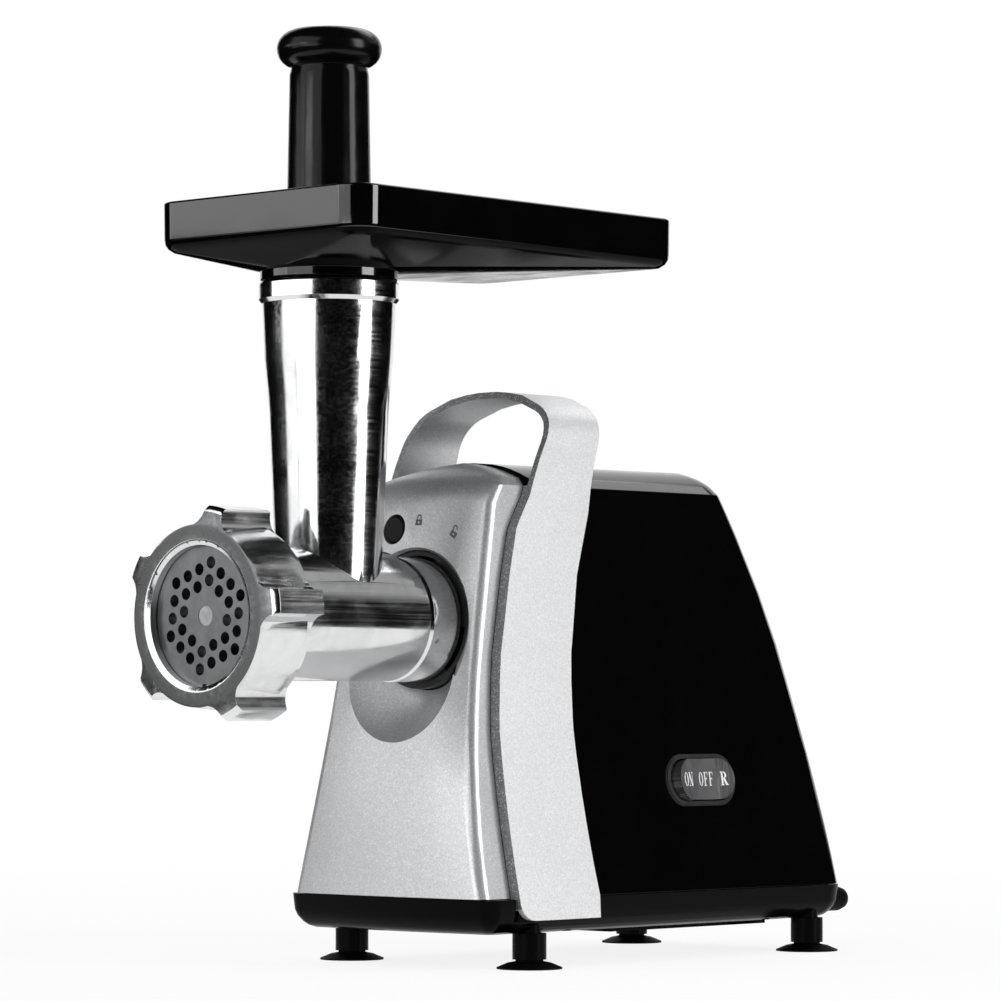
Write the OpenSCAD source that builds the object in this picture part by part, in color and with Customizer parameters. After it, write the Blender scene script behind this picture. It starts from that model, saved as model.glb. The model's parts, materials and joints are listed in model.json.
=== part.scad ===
// Electric meat grinder: motor body with carrying strap, cast grinding head,
// feed tray and pusher. Millimetres. +Z is up, the outlet faces -Y.

/* [Body] */
// Half width of the body at the top of the base
base_half_w = 54; // [48:1:60]
// Half width of the body at the height of the head axis
waist_half_w = 40.5; // [38:0.5:46]
// Half width of the body where the top shoulder starts
top_half_w = 37.4; // [35:0.1:40]
// Height of the body top above the floor
body_top_z = 194; // [186:1:205]
// Height of the seam between base and housing
base_top_z = 27; // [24:1:32]
// Height of the underside of the base
base_bottom_z = 13.5; // [12:0.5:16]
// Distance from the feet centre to the rear of the base
rear_y = 107; // [100:1:125]
// Distance from the feet centre to the front of the base
front_y = 115.5; // [108:1:122]
// Wall of the moulded housings
shell_wall = 2.5; // [2:0.1:3.5]
// Gap between neighbouring housings
seam_gap = 0.3; // [0.2:0.05:0.5]

/* [Strap] */
// Height of the strap top above the floor
strap_top_z = 222.5; // [214:0.5:240]
// Thickness of the strap
strap_t = 2.6; // [2:0.1:4]
// Amount by which the strap stands proud of the housing
strap_proud = 1; // [0.5:0.1:1.4]
// Depth of the strap along the body at the waist
strap_depth = 40; // [34:1:44]
// Depth of the strap over the top
strap_top_depth = 28.5; // [26:0.5:34]
// Depth of the return flange on the strap's front edge
strap_flange = 4.6; // [3.8:0.1:5.2]

/* [Feet] */
// Distance between the left and right feet
feet_w = 94; // [84:1:98]
// Distance between the front and rear feet
feet_l = 168; // [150:1:174]
// Radius of a suction cup
cup_r = 12.5; // [10:0.5:13]
// Height of a suction cup up to its neck
cup_h = 4.2; // [3.5:0.1:5]
// Radius of a foot stem
stem_r = 6.5; // [5.5:0.1:7.5]

/* [Head] */
// Height of the head axis above the floor
axis_z = 132.5; // [128:1:138]
// Outer radius of the barrel
barrel_r = 23.6; // [22:0.2:25]
// Wall of the cast head
cast_wall = 3.4; // [3:0.1:4]
// Distance from the feet centre to the barrel's front end
barrel_front_y = 211; // [205:1:218]
// Distance from the feet centre to the rear of the barrel collar
collar_rear_y = 97.6; // [96:0.2:99]
// Length of the barrel's rear collar
collar_l = 15; // [10:0.5:20]
// Radius of the perforated plate
plate_r = 27; // [26:0.5:28]
// Thickness of the perforated plate
plate_t = 4.5; // [3.5:0.25:5.5]
// Pitch of the plate's holes
hole_pitch = 6.6; // [6.2:0.1:7]
// Diameter of the plate's holes
hole_d = 4.5; // [3:0.1:5]

/* [Hopper tube] */
// Distance from the feet centre to the tube axis
tube_y = 145; // [140:1:150]
// Outer radius of the tube under its collar
tube_top_r = 25.4; // [23:0.5:27]
// Outer radius of the tube at the barrel
tube_low_r = 20.2; // [19:0.2:22]
// Height of the tube's rim above the floor
tube_top_z = 259.5; // [250:0.5:270]
// Outer radius of the tube collar
tube_collar_r = 26.6; // [25:0.1:28]
// Height of the tube collar
tube_collar_h = 8.5; // [6:0.5:12]

/* [Ring nut] */
// Radius of the nut's front rim
nut_front_r = 33.6; // [32:0.5:36]
// Radius of the nut's rear rim
nut_rear_r = 35; // [34.5:0.5:38]
// Radius over the nut's lugs
nut_lug_r = 40.6; // [39:0.2:44]
// Depth of the nut
nut_depth = 26; // [22:1:30]
// Radius of the nut's outlet
nut_lip_r = 26; // [24.5:0.25:26.5]
// Number of lugs
nut_lugs = 5; // [4:1:6]

/* [Tray] */
// Width of the tray
tray_w = 110; // [96:1:116]
// Length of the tray
tray_l = 182; // [160:1:190]
// Distance from the tube axis to the tray's front edge
tray_front = 40.5; // [36:0.5:44]
// Height of the tray's rim above the floor
tray_top_z = 290.5; // [284:0.5:300]
// Height of the tray's upright wall
tray_rim_h = 18; // [12:0.5:20]
// Wall of the tray
tray_wall = 2.2; // [1.8:0.1:3]
// Corner radius of the tray
tray_corner_r = 11.5; // [8:0.5:18]

/* [Pusher] */
// Height of the knob's top above the floor
pusher_top_z = 356; // [340:1:370]
// Radius of the knob
knob_r = 20; // [17:0.2:22]
// Height of the knob
knob_h = 15; // [12:0.5:20]
// Radius of the shaft under the knob
pusher_r = 15.1; // [13:0.5:16]
// Radial clearance of the plunger in the throat
pusher_gap = 0.8; // [0.5:0.1:1.5]

/* [Gear train] */
// Teeth of the motor pinion
motor_teeth = 12; // [11:1:14]
// Teeth of the first gear
first_teeth = 84; // [72:1:90]
// Module of the first stage
first_m = 0.65; // [0.6:0.01:0.68]
// Teeth of the intermediate pinion
mid_teeth = 13; // [12:1:15]
// Teeth of the output gear
out_teeth = 52; // [44:1:54]
// Module of the second stage
out_m = 1.1; // [1:0.02:1.14]
// Tooth play at the pitch circle
gear_play = 0.22; // [0.16:0.01:0.3]

/* [Controls] */
// Distance from the feet centre back to the switch
switch_y = 18; // [5:1:20]
// Height of the switch above the floor
switch_z = 70; // [64:1:76]
// Length of the switch bezel
bezel_l = 42; // [38:1:46]
// Height of the switch bezel
bezel_h = 20.6; // [19:0.1:22]
// Swing of the rocker to each side
rocker_swing = 10; // [6:1:12]
// Angle from the head axis to the release button
button_angle = 20; // [16:1:24]
// Distance from the head axis to the release button
button_reach = 37.5; // [36.5:0.5:39]
// Travel of the release button
button_travel = 4; // [3:0.5:5]

/* [Hidden] */
$fn = 64;
eps = 0.01;

// Running clearance of turning fits and plain clearance of loose fits
run_gap = 0.06;
fit_gap = 0.3;

// The frame's origin lies under the middle of the whole object
nut_front_y = -barrel_front_y - 2.6;
gland_out = 4;
frame_y = -(nut_front_y + rear_y + gland_out) / 2;

silver = "silver";
black = [0.08, 0.08, 0.09];
steel = [0.55, 0.56, 0.58];

module placed() { translate([0, frame_y, 0]) children(); }
// Puts a shape drawn along +Z onto a line along -Y through the head axis
module on_axis(y, z = axis_z, x = 0) { translate([x, y, z]) rotate([90, 0, 0]) children(); }
module ring(ro, ri, h) {
  difference() {
    cylinder(r = ro, h = h);
    translate([0, 0, -1]) cylinder(r = ri, h = h + 2);
  }
}
function mix(a, b, t) = a + (b - a) * t;
// Value at z on straight steps between the knots [z, value]
function along(k, z, i = 0) =
  z <= k[i][0] ? k[i][1]
  : i + 1 >= len(k) ? k[len(k) - 1][1]
  : z <= k[i + 1][0] ? mix(k[i][1], k[i + 1][1], (z - k[i][0]) / (k[i + 1][0] - k[i][0]))
  : along(k, z, i + 1);

// ---------------------------------------------------------------- body outline
waist_z = axis_z - 8;
shoulder_z = body_top_z - 10;
// Height where the arched top meets the sides, and how far the arch rises
arch_rise = 7;
arch_half_w = top_half_w - 3;
arch_z = body_top_z - arch_rise;
// Half width of the body at height z: a flared skirt, a waist, a rounded edge and an arched top
function half_w(z) =
  z < waist_z
  ? waist_half_w + (base_half_w - waist_half_w) * pow((waist_z - z) / (waist_z - base_top_z), 1.7)
  : z < shoulder_z
  ? mix(waist_half_w, top_half_w, (z - waist_z) / (shoulder_z - waist_z))
  : z < arch_z
  ? arch_half_w + (top_half_w - arch_half_w) * sqrt(max(0, 1 - pow((z - shoulder_z) / (arch_z - shoulder_z + 0.3), 2)))
  : arch_half_w * sqrt(max(0.003, (body_top_z - z) / arch_rise));
// Half width of the rear edge, which is flatter on top than the arch at the front
function rear_half_w(z) =
  z < arch_z ? half_w(z) : arch_half_w * pow(max(0.003, (body_top_z - z) / arch_rise), 0.25);
// Front of the cover on the middle plane
face_z = body_top_z - 26;
nose_lean = 19.5;
function nose_y(z) =
  z < face_z
  ? nose_lean * pow((z - base_top_z) / (face_z - base_top_z), 1.5) - front_y
  : nose_lean - front_y + 30 * (1 - sqrt(max(0, 1 - pow((z - face_z) / (body_top_z - face_z + 0.3), 2))));
// Line in side view where the cover ends and the strap starts
seam = [[base_bottom_z, -98], [base_top_z, -98], [90, -97.2], [120, -94], [150, -87.5],
  [167.3, -82.7], [174, -78.5], [180, -74.4], [body_top_z, -68.6], [209, -61], [strap_top_z + 3, -55.2]];
function seam_y(z) = along(seam, z);
// Rear of the housing on the middle plane
slope_z = body_top_z - 9;
tail_lean = 56;
function tail_y(z) =
  z < slope_z
  ? rear_y - tail_lean * pow((z - base_top_z) / (slope_z - base_top_z), 1.9)
  : rear_y - tail_lean - 8 * (1 - sqrt(max(0, 1 - pow((z - slope_z) / (body_top_z - slope_z + 0.3), 2))));

levels = concat([base_top_z], [for (t = [0.12, 0.25, 0.4, 0.55, 0.7, 0.85]) mix(base_top_z, waist_z, t)],
  [waist_z, mix(waist_z, shoulder_z, 0.35), face_z, face_z + 9, shoulder_z],
  [for (t = [0.3, 0.45, 0.65, 0.8, 0.92, 1]) mix(shoulder_z, body_top_z, t)]);

// Solid through the rings, each a list of [x, y] anticlockwise from above, at the heights zs
module loft(rings, zs) {
  n = len(rings[0]);
  m = len(rings) - 1;
  points = [for (i = [0 : m]) for (q = rings[i]) [q[0], q[1], zs[i]]];
  sides = [for (i = [0 : m - 1]) for (j = [0 : n - 1])
    let (o = i * n, k = (j + 1) % n)
    each [[o + j, o + n + j, o + n + k], [o + j, o + n + k, o + k]]];
  polyhedron(points, concat([[for (j = [0 : n - 1]) j]], sides, [[for (j = [n - 1 : -1 : 0]) m * n + j]]));
}
// Points on the circle of radius r round c, from the angle a0 to a1
function arc(c, r, a0, a1, steps) =
  [for (i = [0 : steps]) let (a = mix(a0, a1, i / steps)) c + r * [cos(a), sin(a)]];

// Outline of the cover at height z, drawn in by d
function cover_ring(z, d) =
  let (hw = max(0.6, half_w(z) - strap_flange + strap_proud - seam_gap - d), yf = nose_y(z) + d,
    ys = max(seam_y(z), nose_y(z) + 5), bow = min(1.6, (ys - yf) * 0.4), r = min(4.5, hw * 0.4),
    yc = yf + bow + r)
  concat([[-hw, ys + 25]], arc([r - hw, yc], r, 180, 270, 6),
    [for (t = [-0.6 : 0.2 : 0.61]) [t * (hw - r) / 0.8, yf + bow * t * t]],
    arc([hw - r, yc], r, 270, 360, 6), [[hw, ys + 25]]);
// Outline of the housing at height z, drawn in by d
function housing_ring(z, d) =
  let (hf = max(0.6, half_w(z) - d), hw = max(0.6, rear_half_w(z) - d), yr = tail_y(z) - d,
    r = min(15 - d, hw * 0.6), yc = yr - 2.2 - r)
  concat([[-hf, -92], [hf, -92]], arc([hw - r, yc], r, 0, 90, 7),
    [for (t = [0.3, 0, -0.3]) [t * hw, yr + (t == 0 ? 0.2 : 0)]], arc([r - hw, yc], r, 90, 180, 7));
// Heights of the rings, lowered by d at the top and dropped by low at the bottom
function ring_heights(d, low) =
  [for (z = levels) z == base_top_z ? z - low
    : base_top_z + (z - base_top_z) * (body_top_z - d - base_top_z) / (body_top_z - base_top_z)];
module cover_block(d, low = 0) { loft([for (z = levels) cover_ring(z, d)], ring_heights(d, low)); }
module housing_block(d, low = 0) { loft([for (z = levels) housing_ring(z, d)], ring_heights(d, low)); }
// Region in front of the seam line, moved back by s
module front_of_seam(s) {
  rotate([90, 0, 90]) linear_extrude(160, center = true)
    polygon(concat([[-160, 0], [seam[0][1] + s, 0]],
      [for (k = seam) [k[1] + s, k[0]]], [[seam[len(seam) - 1][1] + s, 260], [-160, 260]]));
}
// Side view of the strap; g widens it for the recess in the housing
strap_low_z = 18.5;
strap_front = [for (k = seam) if (k[0] > 80) k];
strap_back = [[strap_top_z + 3, -55.2 + strap_top_depth], [209, -61 + strap_top_depth + 0.4],
  [body_top_z, -68.6 + strap_top_depth + 3.4],
  [174, -41], [150, -87.5 + strap_depth - 1.5], [120, -94 + strap_depth],
  [90, -97.2 + strap_depth + 2]];
strap_r = 9;
module strap_side(g) {
  rotate([90, 0, 90]) linear_extrude(160, center = true) {
    polygon(concat(
      [for (a = [0 : 15 : 90]) [-98 - g + strap_r * (1 - sin(a)), strap_low_z - g + strap_r * (1 - cos(a))]],
      [for (k = strap_front) [k[1] - g, k[0]]],
      [for (k = strap_back) [k[1] + g, k[0]]],
      [[-53 + g, strap_low_z + 20], [-52 + g, strap_low_z - g]]));
  }
}

// ---------------------------------------------------------------- body shells
cover_bore_r = 27;
dish_r = 31;
dish_y = -96.5;
scoop_r = 31;
scoop_y = -119.5;
scoop_z = axis_z - 17.5;
module head_cutouts() {
  // dished recess round the socket
  on_axis(-60) cylinder(r = cover_bore_r, h = 70);
  on_axis(dish_y) cylinder(r1 = cover_bore_r, r2 = dish_r + 5, h = 9);
  // scoop below the head
  translate([0, scoop_y, scoop_z]) sphere(r = scoop_r, $fn = 48);
}
button_x = -button_reach * sin(button_angle);
button_z = axis_z + button_reach * cos(button_angle);
button_r = 5.6;
module front_cover() {
  color(silver) placed() difference() {
    union() {
      intersection() {
        difference() {
          cover_block(0);
          cover_block(shell_wall, 1);
        }
        front_of_seam(0);
      }
      // cup behind the scoop and the dish
      intersection() {
        union() {
          translate([0, scoop_y, scoop_z]) sphere(r = scoop_r + shell_wall, $fn = 48);
          on_axis(dish_y + 3) cylinder(r = dish_r + 2.5, h = 7);
        }
        cover_block(0.4);
      }
    }
    head_cutouts();
    on_axis(-60, button_z, button_x) cylinder(r = button_r + fit_gap, h = 60);
  }
}
vent_n = 9;
strap_flange_t = 1.6;
boss_h = 12;
boss_web_x = half_w(base_top_z + boss_h) - shell_wall + 0.3;
module rear_housing() {
  color(black) placed() difference() {
    union() {
      difference() {
        housing_block(0);
        housing_block(shell_wall, 1);
      }
      // thicker wall behind the strap
      intersection() {
        difference() {
          housing_block(0.5);
          housing_block(shell_wall + 1.6, 1);
        }
        strap_side(2);
      }
      // bosses for the base screws, with webs to the side walls
      for (p = screw_at) difference() {
        union() {
          translate([p[0], p[1], base_top_z]) cylinder(r = 4, h = boss_h);
          translate([p[0] > 0 ? p[0] : -boss_web_x, p[1] - 1.5, base_top_z + boss_h - 8])
            cube([boss_web_x - abs(p[0]), 3, 8]);
        }
        translate([p[0], p[1], base_top_z - 1]) cylinder(r = 1.7, h = boss_h - 3);
      }
    }
    strap_band(seam_gap);
    front_of_seam(seam_gap);
    // room for the return flange of the strap
    intersection() {
      front_of_seam(strap_flange_t + seam_gap);
      translate([-80, -120, 0]) cube([160, 120, shoulder_z]);
    }
    at_switch() bezel_hole(16);
    // vent slots low in the rear wall
    for (i = [0 : vent_n - 1])
      translate([(i - (vent_n - 1) / 2) * 5.2 - 1.2, rear_y - 20, 44]) cube([2.4, 40, 22]);
  }
}
module strap_band(g) {
  intersection() {
    strap_side(g);
    difference() {
      side_skin(strap_proud + g);
      side_skin(strap_proud - strap_t - g);
    }
  }
}
// Body between its side walls grown by d, straight down below the base seam
module side_skin(d) {
  zs = [for (z = levels) if (z < shoulder_z) z];
  right = concat([[half_w(base_top_z) + d, strap_low_z - 6]], [for (z = zs) [half_w(z) + d, z]],
    [[top_half_w + d, shoulder_z], [top_half_w + d, shoulder_z + 4]]);
  translate([0, -20, 0]) rotate([90, 0, 0]) linear_extrude(100)
    polygon(concat(right, [for (i = [len(right) - 1 : -1 : 0]) [-right[i][0], right[i][1]]]));
}
arch_corner_r = 16;
module arch_profile(d) {
  hw = top_half_w + strap_proud - d;
  r = arch_corner_r - d;
  zc = strap_top_z - 5 - arch_corner_r;
  right = concat([[hw, 150]], arc([hw - r, zc], r, 0, 66, 6),
    [for (t = [0.5, 0.3, 0.12]) [t * hw, strap_top_z - d - 9 * t * t]]);
  polygon(concat(right, [for (i = [len(right) - 1 : -1 : 0]) [-right[i][0], right[i][1]]]));
}
module handle_strap() {
  color(silver) placed() union() {
    difference() {
      union() {
        strap_band(0);
        // return flange facing forward
        intersection() {
          strap_side(0);
          difference() {
            side_skin(strap_proud);
            side_skin(strap_proud - strap_flange);
          }
          front_of_seam(strap_flange_t);
        }
      }
      translate([-80, -120, shoulder_z]) cube([160, 140, 60]);
    }
    intersection() {
      strap_side(0);
      translate([0, 10, 0]) rotate([90, 0, 0]) linear_extrude(120) difference() {
        arch_profile(0);
        arch_profile(strap_t);
        translate([-80, 140]) square([160, shoulder_z - 140 - eps]);
      }
    }
  }
}

// ---------------------------------------------------------------- base and feet
// Outline of the base, drawn in by d
function base_ring(d) =
  let (hw = base_half_w - d, rr = 14 - d / 2, rf = 6 - d / 2, yr = rear_y - 2 - d, yf = d + 2.2 + rf - front_y)
  concat(arc([rf - hw, yf], rf, 180, 270, 6),
    [for (t = [-0.55, -0.28, 0, 0.28, 0.55]) [t * hw, d + 2.7 * t * t - front_y]],
    arc([hw - rf, yf], rf, 270, 360, 6), arc([hw - rr, yr - rr], rr, 0, 90, 8),
    [[0, rear_y - d - 0.5]], arc([rr - hw, yr - rr], rr, 90, 180, 8));
foot_at = [for (x = [-1, 1], y = [-1, 1]) [x * feet_w / 2, y * feet_l / 2]];
base_floor = 3;
belly_w = 60;
belly_l = 96;
belly_h = 2.6;
belly_y = -18;
screw_at = [for (x = [-1, 1], y = [-62, 58]) [x * 43, y]];
module base() {
  $fn = 20;
  color(black) placed() difference() {
    union() {
      difference() {
        loft([for (d = [7.5, 5, 3.4, 1.5, 0.6, 0]) base_ring(d)],
          concat([for (h = [0, 0.9, 2.2, 4.6, 7]) base_bottom_z + h], [base_top_z - seam_gap]));
        loft([for (d = [7.6, shell_wall]) base_ring(d)], [base_bottom_z + base_floor, base_top_z + 1]);
      }
      // pads that back the seats
      for (m = [0, 1]) mirror([m, 0, 0])
        translate([base_half_w - 6.5, -97, strap_low_z - 2.2]) cube([3.7, 44, 9.6]);
      // belly that holds the cooling slots
      translate([-belly_w / 2, belly_y, base_bottom_z - belly_h]) cube([belly_w, belly_l, belly_h + 0.5]);
      // ribs that stiffen the floor
      for (x = [-24, 0, 24]) translate([x - 1, -96, base_bottom_z]) cube([2, 190, 8]);
      for (p = screw_at) translate([p[0], p[1], base_bottom_z]) cylinder(r = 4.5, h = 10);
      // motor cradle posts
      for (x = [-1, 1], y = [motor_y - 16, motor_y + 16])
        translate([x * 17, y, base_bottom_z]) cylinder(r = 3.5, h = motor_foot_z - base_bottom_z);
      for (p = foot_at) translate([p[0], p[1], base_bottom_z]) cylinder(r = stem_r - 2, h = 7);
    }
    // seats for the lower ends of the strap and its flange
    for (m = [0, 1]) mirror([m, 0, 0]) {
      translate([base_half_w + strap_proud - strap_t - seam_gap, -98.6, strap_low_z - seam_gap])
        cube([20, 46.8, 40]);
      translate([base_half_w + strap_proud - strap_flange - seam_gap, -99, strap_low_z - seam_gap])
        cube([18, strap_flange_t + 3 * seam_gap + 0.4, 40]);
    }
    for (p = screw_at) translate([p[0], p[1], base_bottom_z - 1]) {
      cylinder(r = 1.7, h = 20);
      cylinder(r = 3.4, h = 4);
    }
    // cooling slots under the motor
    for (i = [-5 : 2 : 5])
      translate([-12, i * 5.4 + motor_y, base_bottom_z - belly_h - 1]) cube([24, 2.6, 14]);
    translate([cord_x, rear_y - 20, gland_z]) rotate([-90, 0, 0]) cylinder(r = gland_r + 0.2, h = 30);
    for (p = foot_at) translate([p[0], p[1], base_bottom_z - 1]) cylinder(r = 1.6, h = 12);
  }
}
stem_bottom_z = cup_h - 0.6;
module foot_stems() {
  color(black) placed() for (p = foot_at) translate([p[0], p[1], stem_bottom_z]) {
    difference() {
      union() {
        cylinder(r = stem_r, h = base_bottom_z - stem_bottom_z);
        translate([0, 0, base_bottom_z - stem_bottom_z - 1]) cylinder(r = 1.5, h = 9);
      }
      // relief grooves down the stem
      for (a = [45 : 90 : 315]) rotate(a) translate([stem_r - 0.5, -0.7, 1.2]) cube([2, 1.4, 6.4]);
      translate([0, 0, -1]) cylinder(r = 3.1, h = 4.2);
    }
  }
}
module suction_cups() {
  color([0.12, 0.12, 0.12]) placed() for (p = foot_at) translate([p[0], p[1], 0]) rotate_extrude()
    polygon([[0, 1.5], [6, 1.1], [cup_r - 1, 0], [cup_r, 0], [cup_r, 0.6], [8.4, 2.3], [5.4, 2.9],
      [5.2, stem_bottom_z], [3, stem_bottom_z], [3, stem_bottom_z + 3], [0, stem_bottom_z + 3]]);
}
module base_screws() {
  color(steel) placed() for (p = screw_at) translate([p[0], p[1], base_bottom_z + 0.6]) difference() {
    union() {
      cylinder(r = 2.9, h = 2.2);
      cylinder(r = 1.6, h = 15);
    }
    for (a = [0, 90]) rotate(a) translate([-2, -0.4, -1]) cube([4, 0.8, 2]);
  }
}
cord_x = 43;
gland_z = 20.3;
gland_r = 5;
gland_l = 14;
module cord_gland() {
  color([0.05, 0.05, 0.05]) placed() translate([cord_x, rear_y + gland_out - gland_l, gland_z]) rotate([-90, 0, 0])
    difference() {
      union() {
        cylinder(r = gland_r, h = gland_l - 3);
        translate([0, 0, gland_l - 3]) cylinder(r1 = gland_r, r2 = gland_r - 0.8, h = 3);
      }
      translate([0, 0, -1]) cylinder(r = 2.8, h = gland_l + 2);
    }
}

// ---------------------------------------------------------------- drive
first_a = (motor_teeth + first_teeth) * first_m / 2;
out_a = (mid_teeth + out_teeth) * out_m / 2;
mid_z = axis_z - out_a;
motor_z = mid_z - first_a;
motor_y = 32;
motor_foot_z = motor_z - 30;
pressure = 25;
function inv(a) = tan(a) - a * PI / 180;
// Half the angle that a tooth takes at radius r, in degrees
function tooth_half(n, m, r) =
  let (rp = n * m / 2, rb = rp * cos(pressure), q = max(r, rb), ar = acos(rb / q))
  ((PI / 2 - gear_play / (2 * m)) / n + inv(pressure) - inv(ar)) * 180 / PI;
// Spur gear outline with a tooth centred on the angle ph
module gear2d(n, m, ph) {
  rp = n * m / 2;
  ra = rp + 0.8 * m;
  rf = rp - 1.1 * m;
  k = [rf, max(rf + 0.02, rp * cos(pressure)), rp, ra];
  polygon([for (i = [0 : n - 1], s = [-1, 1], j = [0 : 3])
    let (q = s < 0 ? k[j] : k[3 - j], a = ph + 360 * i / n + s * tooth_half(n, m, q))
    q * [cos(a), sin(a)]]);
}
stage1_y = -24;
stage2_y = -40;
case_front_y = -72;
shaft_tail_r = 4;
shaft_r = 7;
hex_r = 6;
module output_shaft() {
  color(steel) placed() {
    on_axis(case_split_y + 2.7) cylinder(r = shaft_tail_r, h = case_split_y + 2.7 - stage2_y);
    on_axis(stage2_y) cylinder(r = shaft_r, h = stage2_y - hub_rear_y);
    on_axis(hub_rear_y) cylinder(r = hex_r, h = 16, $fn = 6);
  }
}
module output_gear() {
  color("white") placed() on_axis(stage2_y) difference() {
    union() {
      linear_extrude(12) gear2d(out_teeth, out_m, -90);
      translate([0, 0, -2]) cylinder(r = 12, h = 16);
    }
    for (s = [-3, 9]) translate([0, 0, s]) ring(out_teeth * out_m / 2 - 4, 14, 6);
    translate([0, 0, -5]) cylinder(r = shaft_tail_r, h = 6);
    cylinder(r = shaft_r, h = 30);
  }
}
module mid_gear() {
  color("white") placed() on_axis(stage1_y, mid_z) difference() {
    linear_extrude(8) gear2d(first_teeth, first_m, -90);
    for (s = [-3, 6]) translate([0, 0, s]) ring(first_teeth * first_m / 2 - 3.5, 12, 5);
    translate([0, 0, -1]) cylinder(r = 6, h = 12);
  }
}
mid_axle_r = 4;
module mid_pinion() {
  color(steel) placed() on_axis(stage1_y + 1, mid_z) difference() {
    union() {
      cylinder(r = 6, h = 14);
      translate([0, 0, 14]) linear_extrude(16) gear2d(mid_teeth, out_m, 90 + 180 / mid_teeth);
    }
    translate([0, 0, -1]) cylinder(r = mid_axle_r + run_gap, h = 40);
  }
}
module mid_axle() {
  color(steel) placed() on_axis(case_back_y - 1, mid_z) cylinder(r = mid_axle_r, h = case_back_y - 3 - case_front_y);
}
case_wall = 3;
case_r1 = first_teeth * first_m / 2 + 5;
case_r2 = out_teeth * out_m / 2 + 5;
module case_plan(d) {
  translate([0, axis_z]) circle(r = case_r2 - d);
  translate([0, mid_z]) circle(r = case_r1 - d);
  translate([0, motor_z]) circle(r = 15 - d);
  translate([-15 + d, motor_z]) square([30 - 2 * d, mid_z - motor_z]);
  translate([-case_r1 + d + 2, mid_z]) square([2 * (case_r1 - d - 2), axis_z - mid_z]);
}
case_back_y = -14;
case_split_y = -18;
case_ears = [[-28, axis_z + 23], [28, axis_z + 23], [-29, mid_z - 20], [29, mid_z - 20]];
module case_ear_plan() { for (e = case_ears) translate(e) circle(r = 5); }
case_nose_t = 7;
bearing_r = 13;
module gearbox_case() {
  color([0.75, 0.76, 0.78]) placed() difference() {
    translate([0, case_split_y, 0]) rotate([90, 0, 0]) linear_extrude(case_split_y - case_front_y) {
      case_plan(0);
      case_ear_plan();
    }
    translate([0, case_split_y + 1, 0]) rotate([90, 0, 0])
      linear_extrude(case_split_y - case_front_y - case_nose_t + 1) case_plan(case_wall);
    on_axis(case_front_y + 30) cylinder(r = bearing_r + eps, h = 32);
    on_axis(case_split_y + 1, mid_z) cylinder(r = mid_axle_r, h = case_split_y - 1 - case_front_y);
    for (e = case_ears) on_axis(case_split_y + 1, e[1], e[0]) cylinder(r = 1.8, h = 14);
    for (p = socket_screw_at) on_axis(case_front_y + 6, axis_z + p[1], p[0]) cylinder(r = 1.7, h = 8);
  }
}
module gearbox_cover() {
  color([0.7, 0.71, 0.73]) placed() difference() {
    translate([0, case_back_y, 0]) rotate([90, 0, 0]) linear_extrude(case_back_y - case_split_y) {
      case_plan(0);
      case_ear_plan();
    }
    on_axis(case_back_y + 1, motor_z) cylinder(r = 8, h = 10);
    on_axis(case_back_y + 1, mid_z) cylinder(r = mid_axle_r, h = 10);
    on_axis(case_back_y - 1) cylinder(r = shaft_tail_r + run_gap, h = 10);
    for (e = case_ears) on_axis(case_back_y + 1, e[1], e[0]) cylinder(r = 1.8, h = 14);
  }
}
module gearbox_screws() {
  color(steel) placed() for (e = case_ears) on_axis(case_back_y + 2.4, e[1], e[0]) {
    cylinder(r = 3.2, h = 2.4);
    cylinder(r = 1.7, h = 15);
  }
}
module output_bearing() {
  color([0.7, 0.55, 0.3]) placed() on_axis(case_front_y + 10) ring(bearing_r, shaft_r + run_gap, 7);
}
module shaft_seal() {
  color([0.15, 0.15, 0.15]) placed() on_axis(case_front_y + 2.8) ring(bearing_r, shaft_r + run_gap, 2.8);
}
stator_l = 40;
stator_w = 57;
stator_h = 60;
coil_w = 32;
coil_t = 6.6;
coil_at = 20.7;
coil_over = 5;
module stator_core() {
  color([0.35, 0.35, 0.38]) placed() on_axis(motor_y + stator_l / 2, motor_z) linear_extrude(stator_l)
    difference() {
      intersection() {
        square([stator_w, stator_h], center = true);
        circle(r = 37);
      }
      circle(r = armature_r + 0.6);
      for (s = [-1, 1]) translate([0, s * coil_at])
        square([coil_w + 2 * fit_gap, coil_t + 2 * fit_gap], center = true);
    }
}
module field_coils() {
  color([0.72, 0.4, 0.2]) placed() for (s = [-1, 1])
    on_axis(motor_y + stator_l / 2 + coil_over, motor_z + s * coil_at)
      linear_extrude(stator_l + 2 * coil_over) square([coil_w, coil_t], center = true);
}
bracket_w = 12;
bracket_t = 2;
arm_t = 3;
arm_x = stator_w / 2 - arm_t;
module motor_front_bracket() {
  color(steel) placed() difference() {
    union() {
      on_axis(case_back_y + 10, motor_z) cylinder(r = 11, h = 10);
      translate([-stator_w / 2, case_back_y + 10, motor_z - bracket_w / 2]) cube([stator_w, bracket_t, bracket_w]);
      for (x = [-stator_w / 2, arm_x]) translate([x, case_back_y + 10, motor_z - bracket_w / 2])
        cube([arm_t, motor_y - stator_l / 2 - case_back_y - 10, bracket_w]);
    }
    on_axis(case_back_y + 14, motor_z) cylinder(r = 8, h = 20);
  }
}
motor_rear_y = 78;
module motor_rear_bracket() {
  color(steel) placed() difference() {
    union() {
      on_axis(motor_rear_y + 8, motor_z) cylinder(r = 10, h = 8);
      translate([-stator_w / 2, motor_rear_y, motor_z - bracket_w / 2]) cube([stator_w, bracket_t, bracket_w]);
      for (x = [-stator_w / 2, arm_x]) translate([x, motor_y + stator_l / 2, motor_z - bracket_w / 2])
        cube([arm_t, motor_rear_y - motor_y - stator_l / 2 + 1, bracket_w]);
    }
    on_axis(motor_rear_y + 6, motor_z) cylinder(r = 7, h = 12);
  }
}
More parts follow.
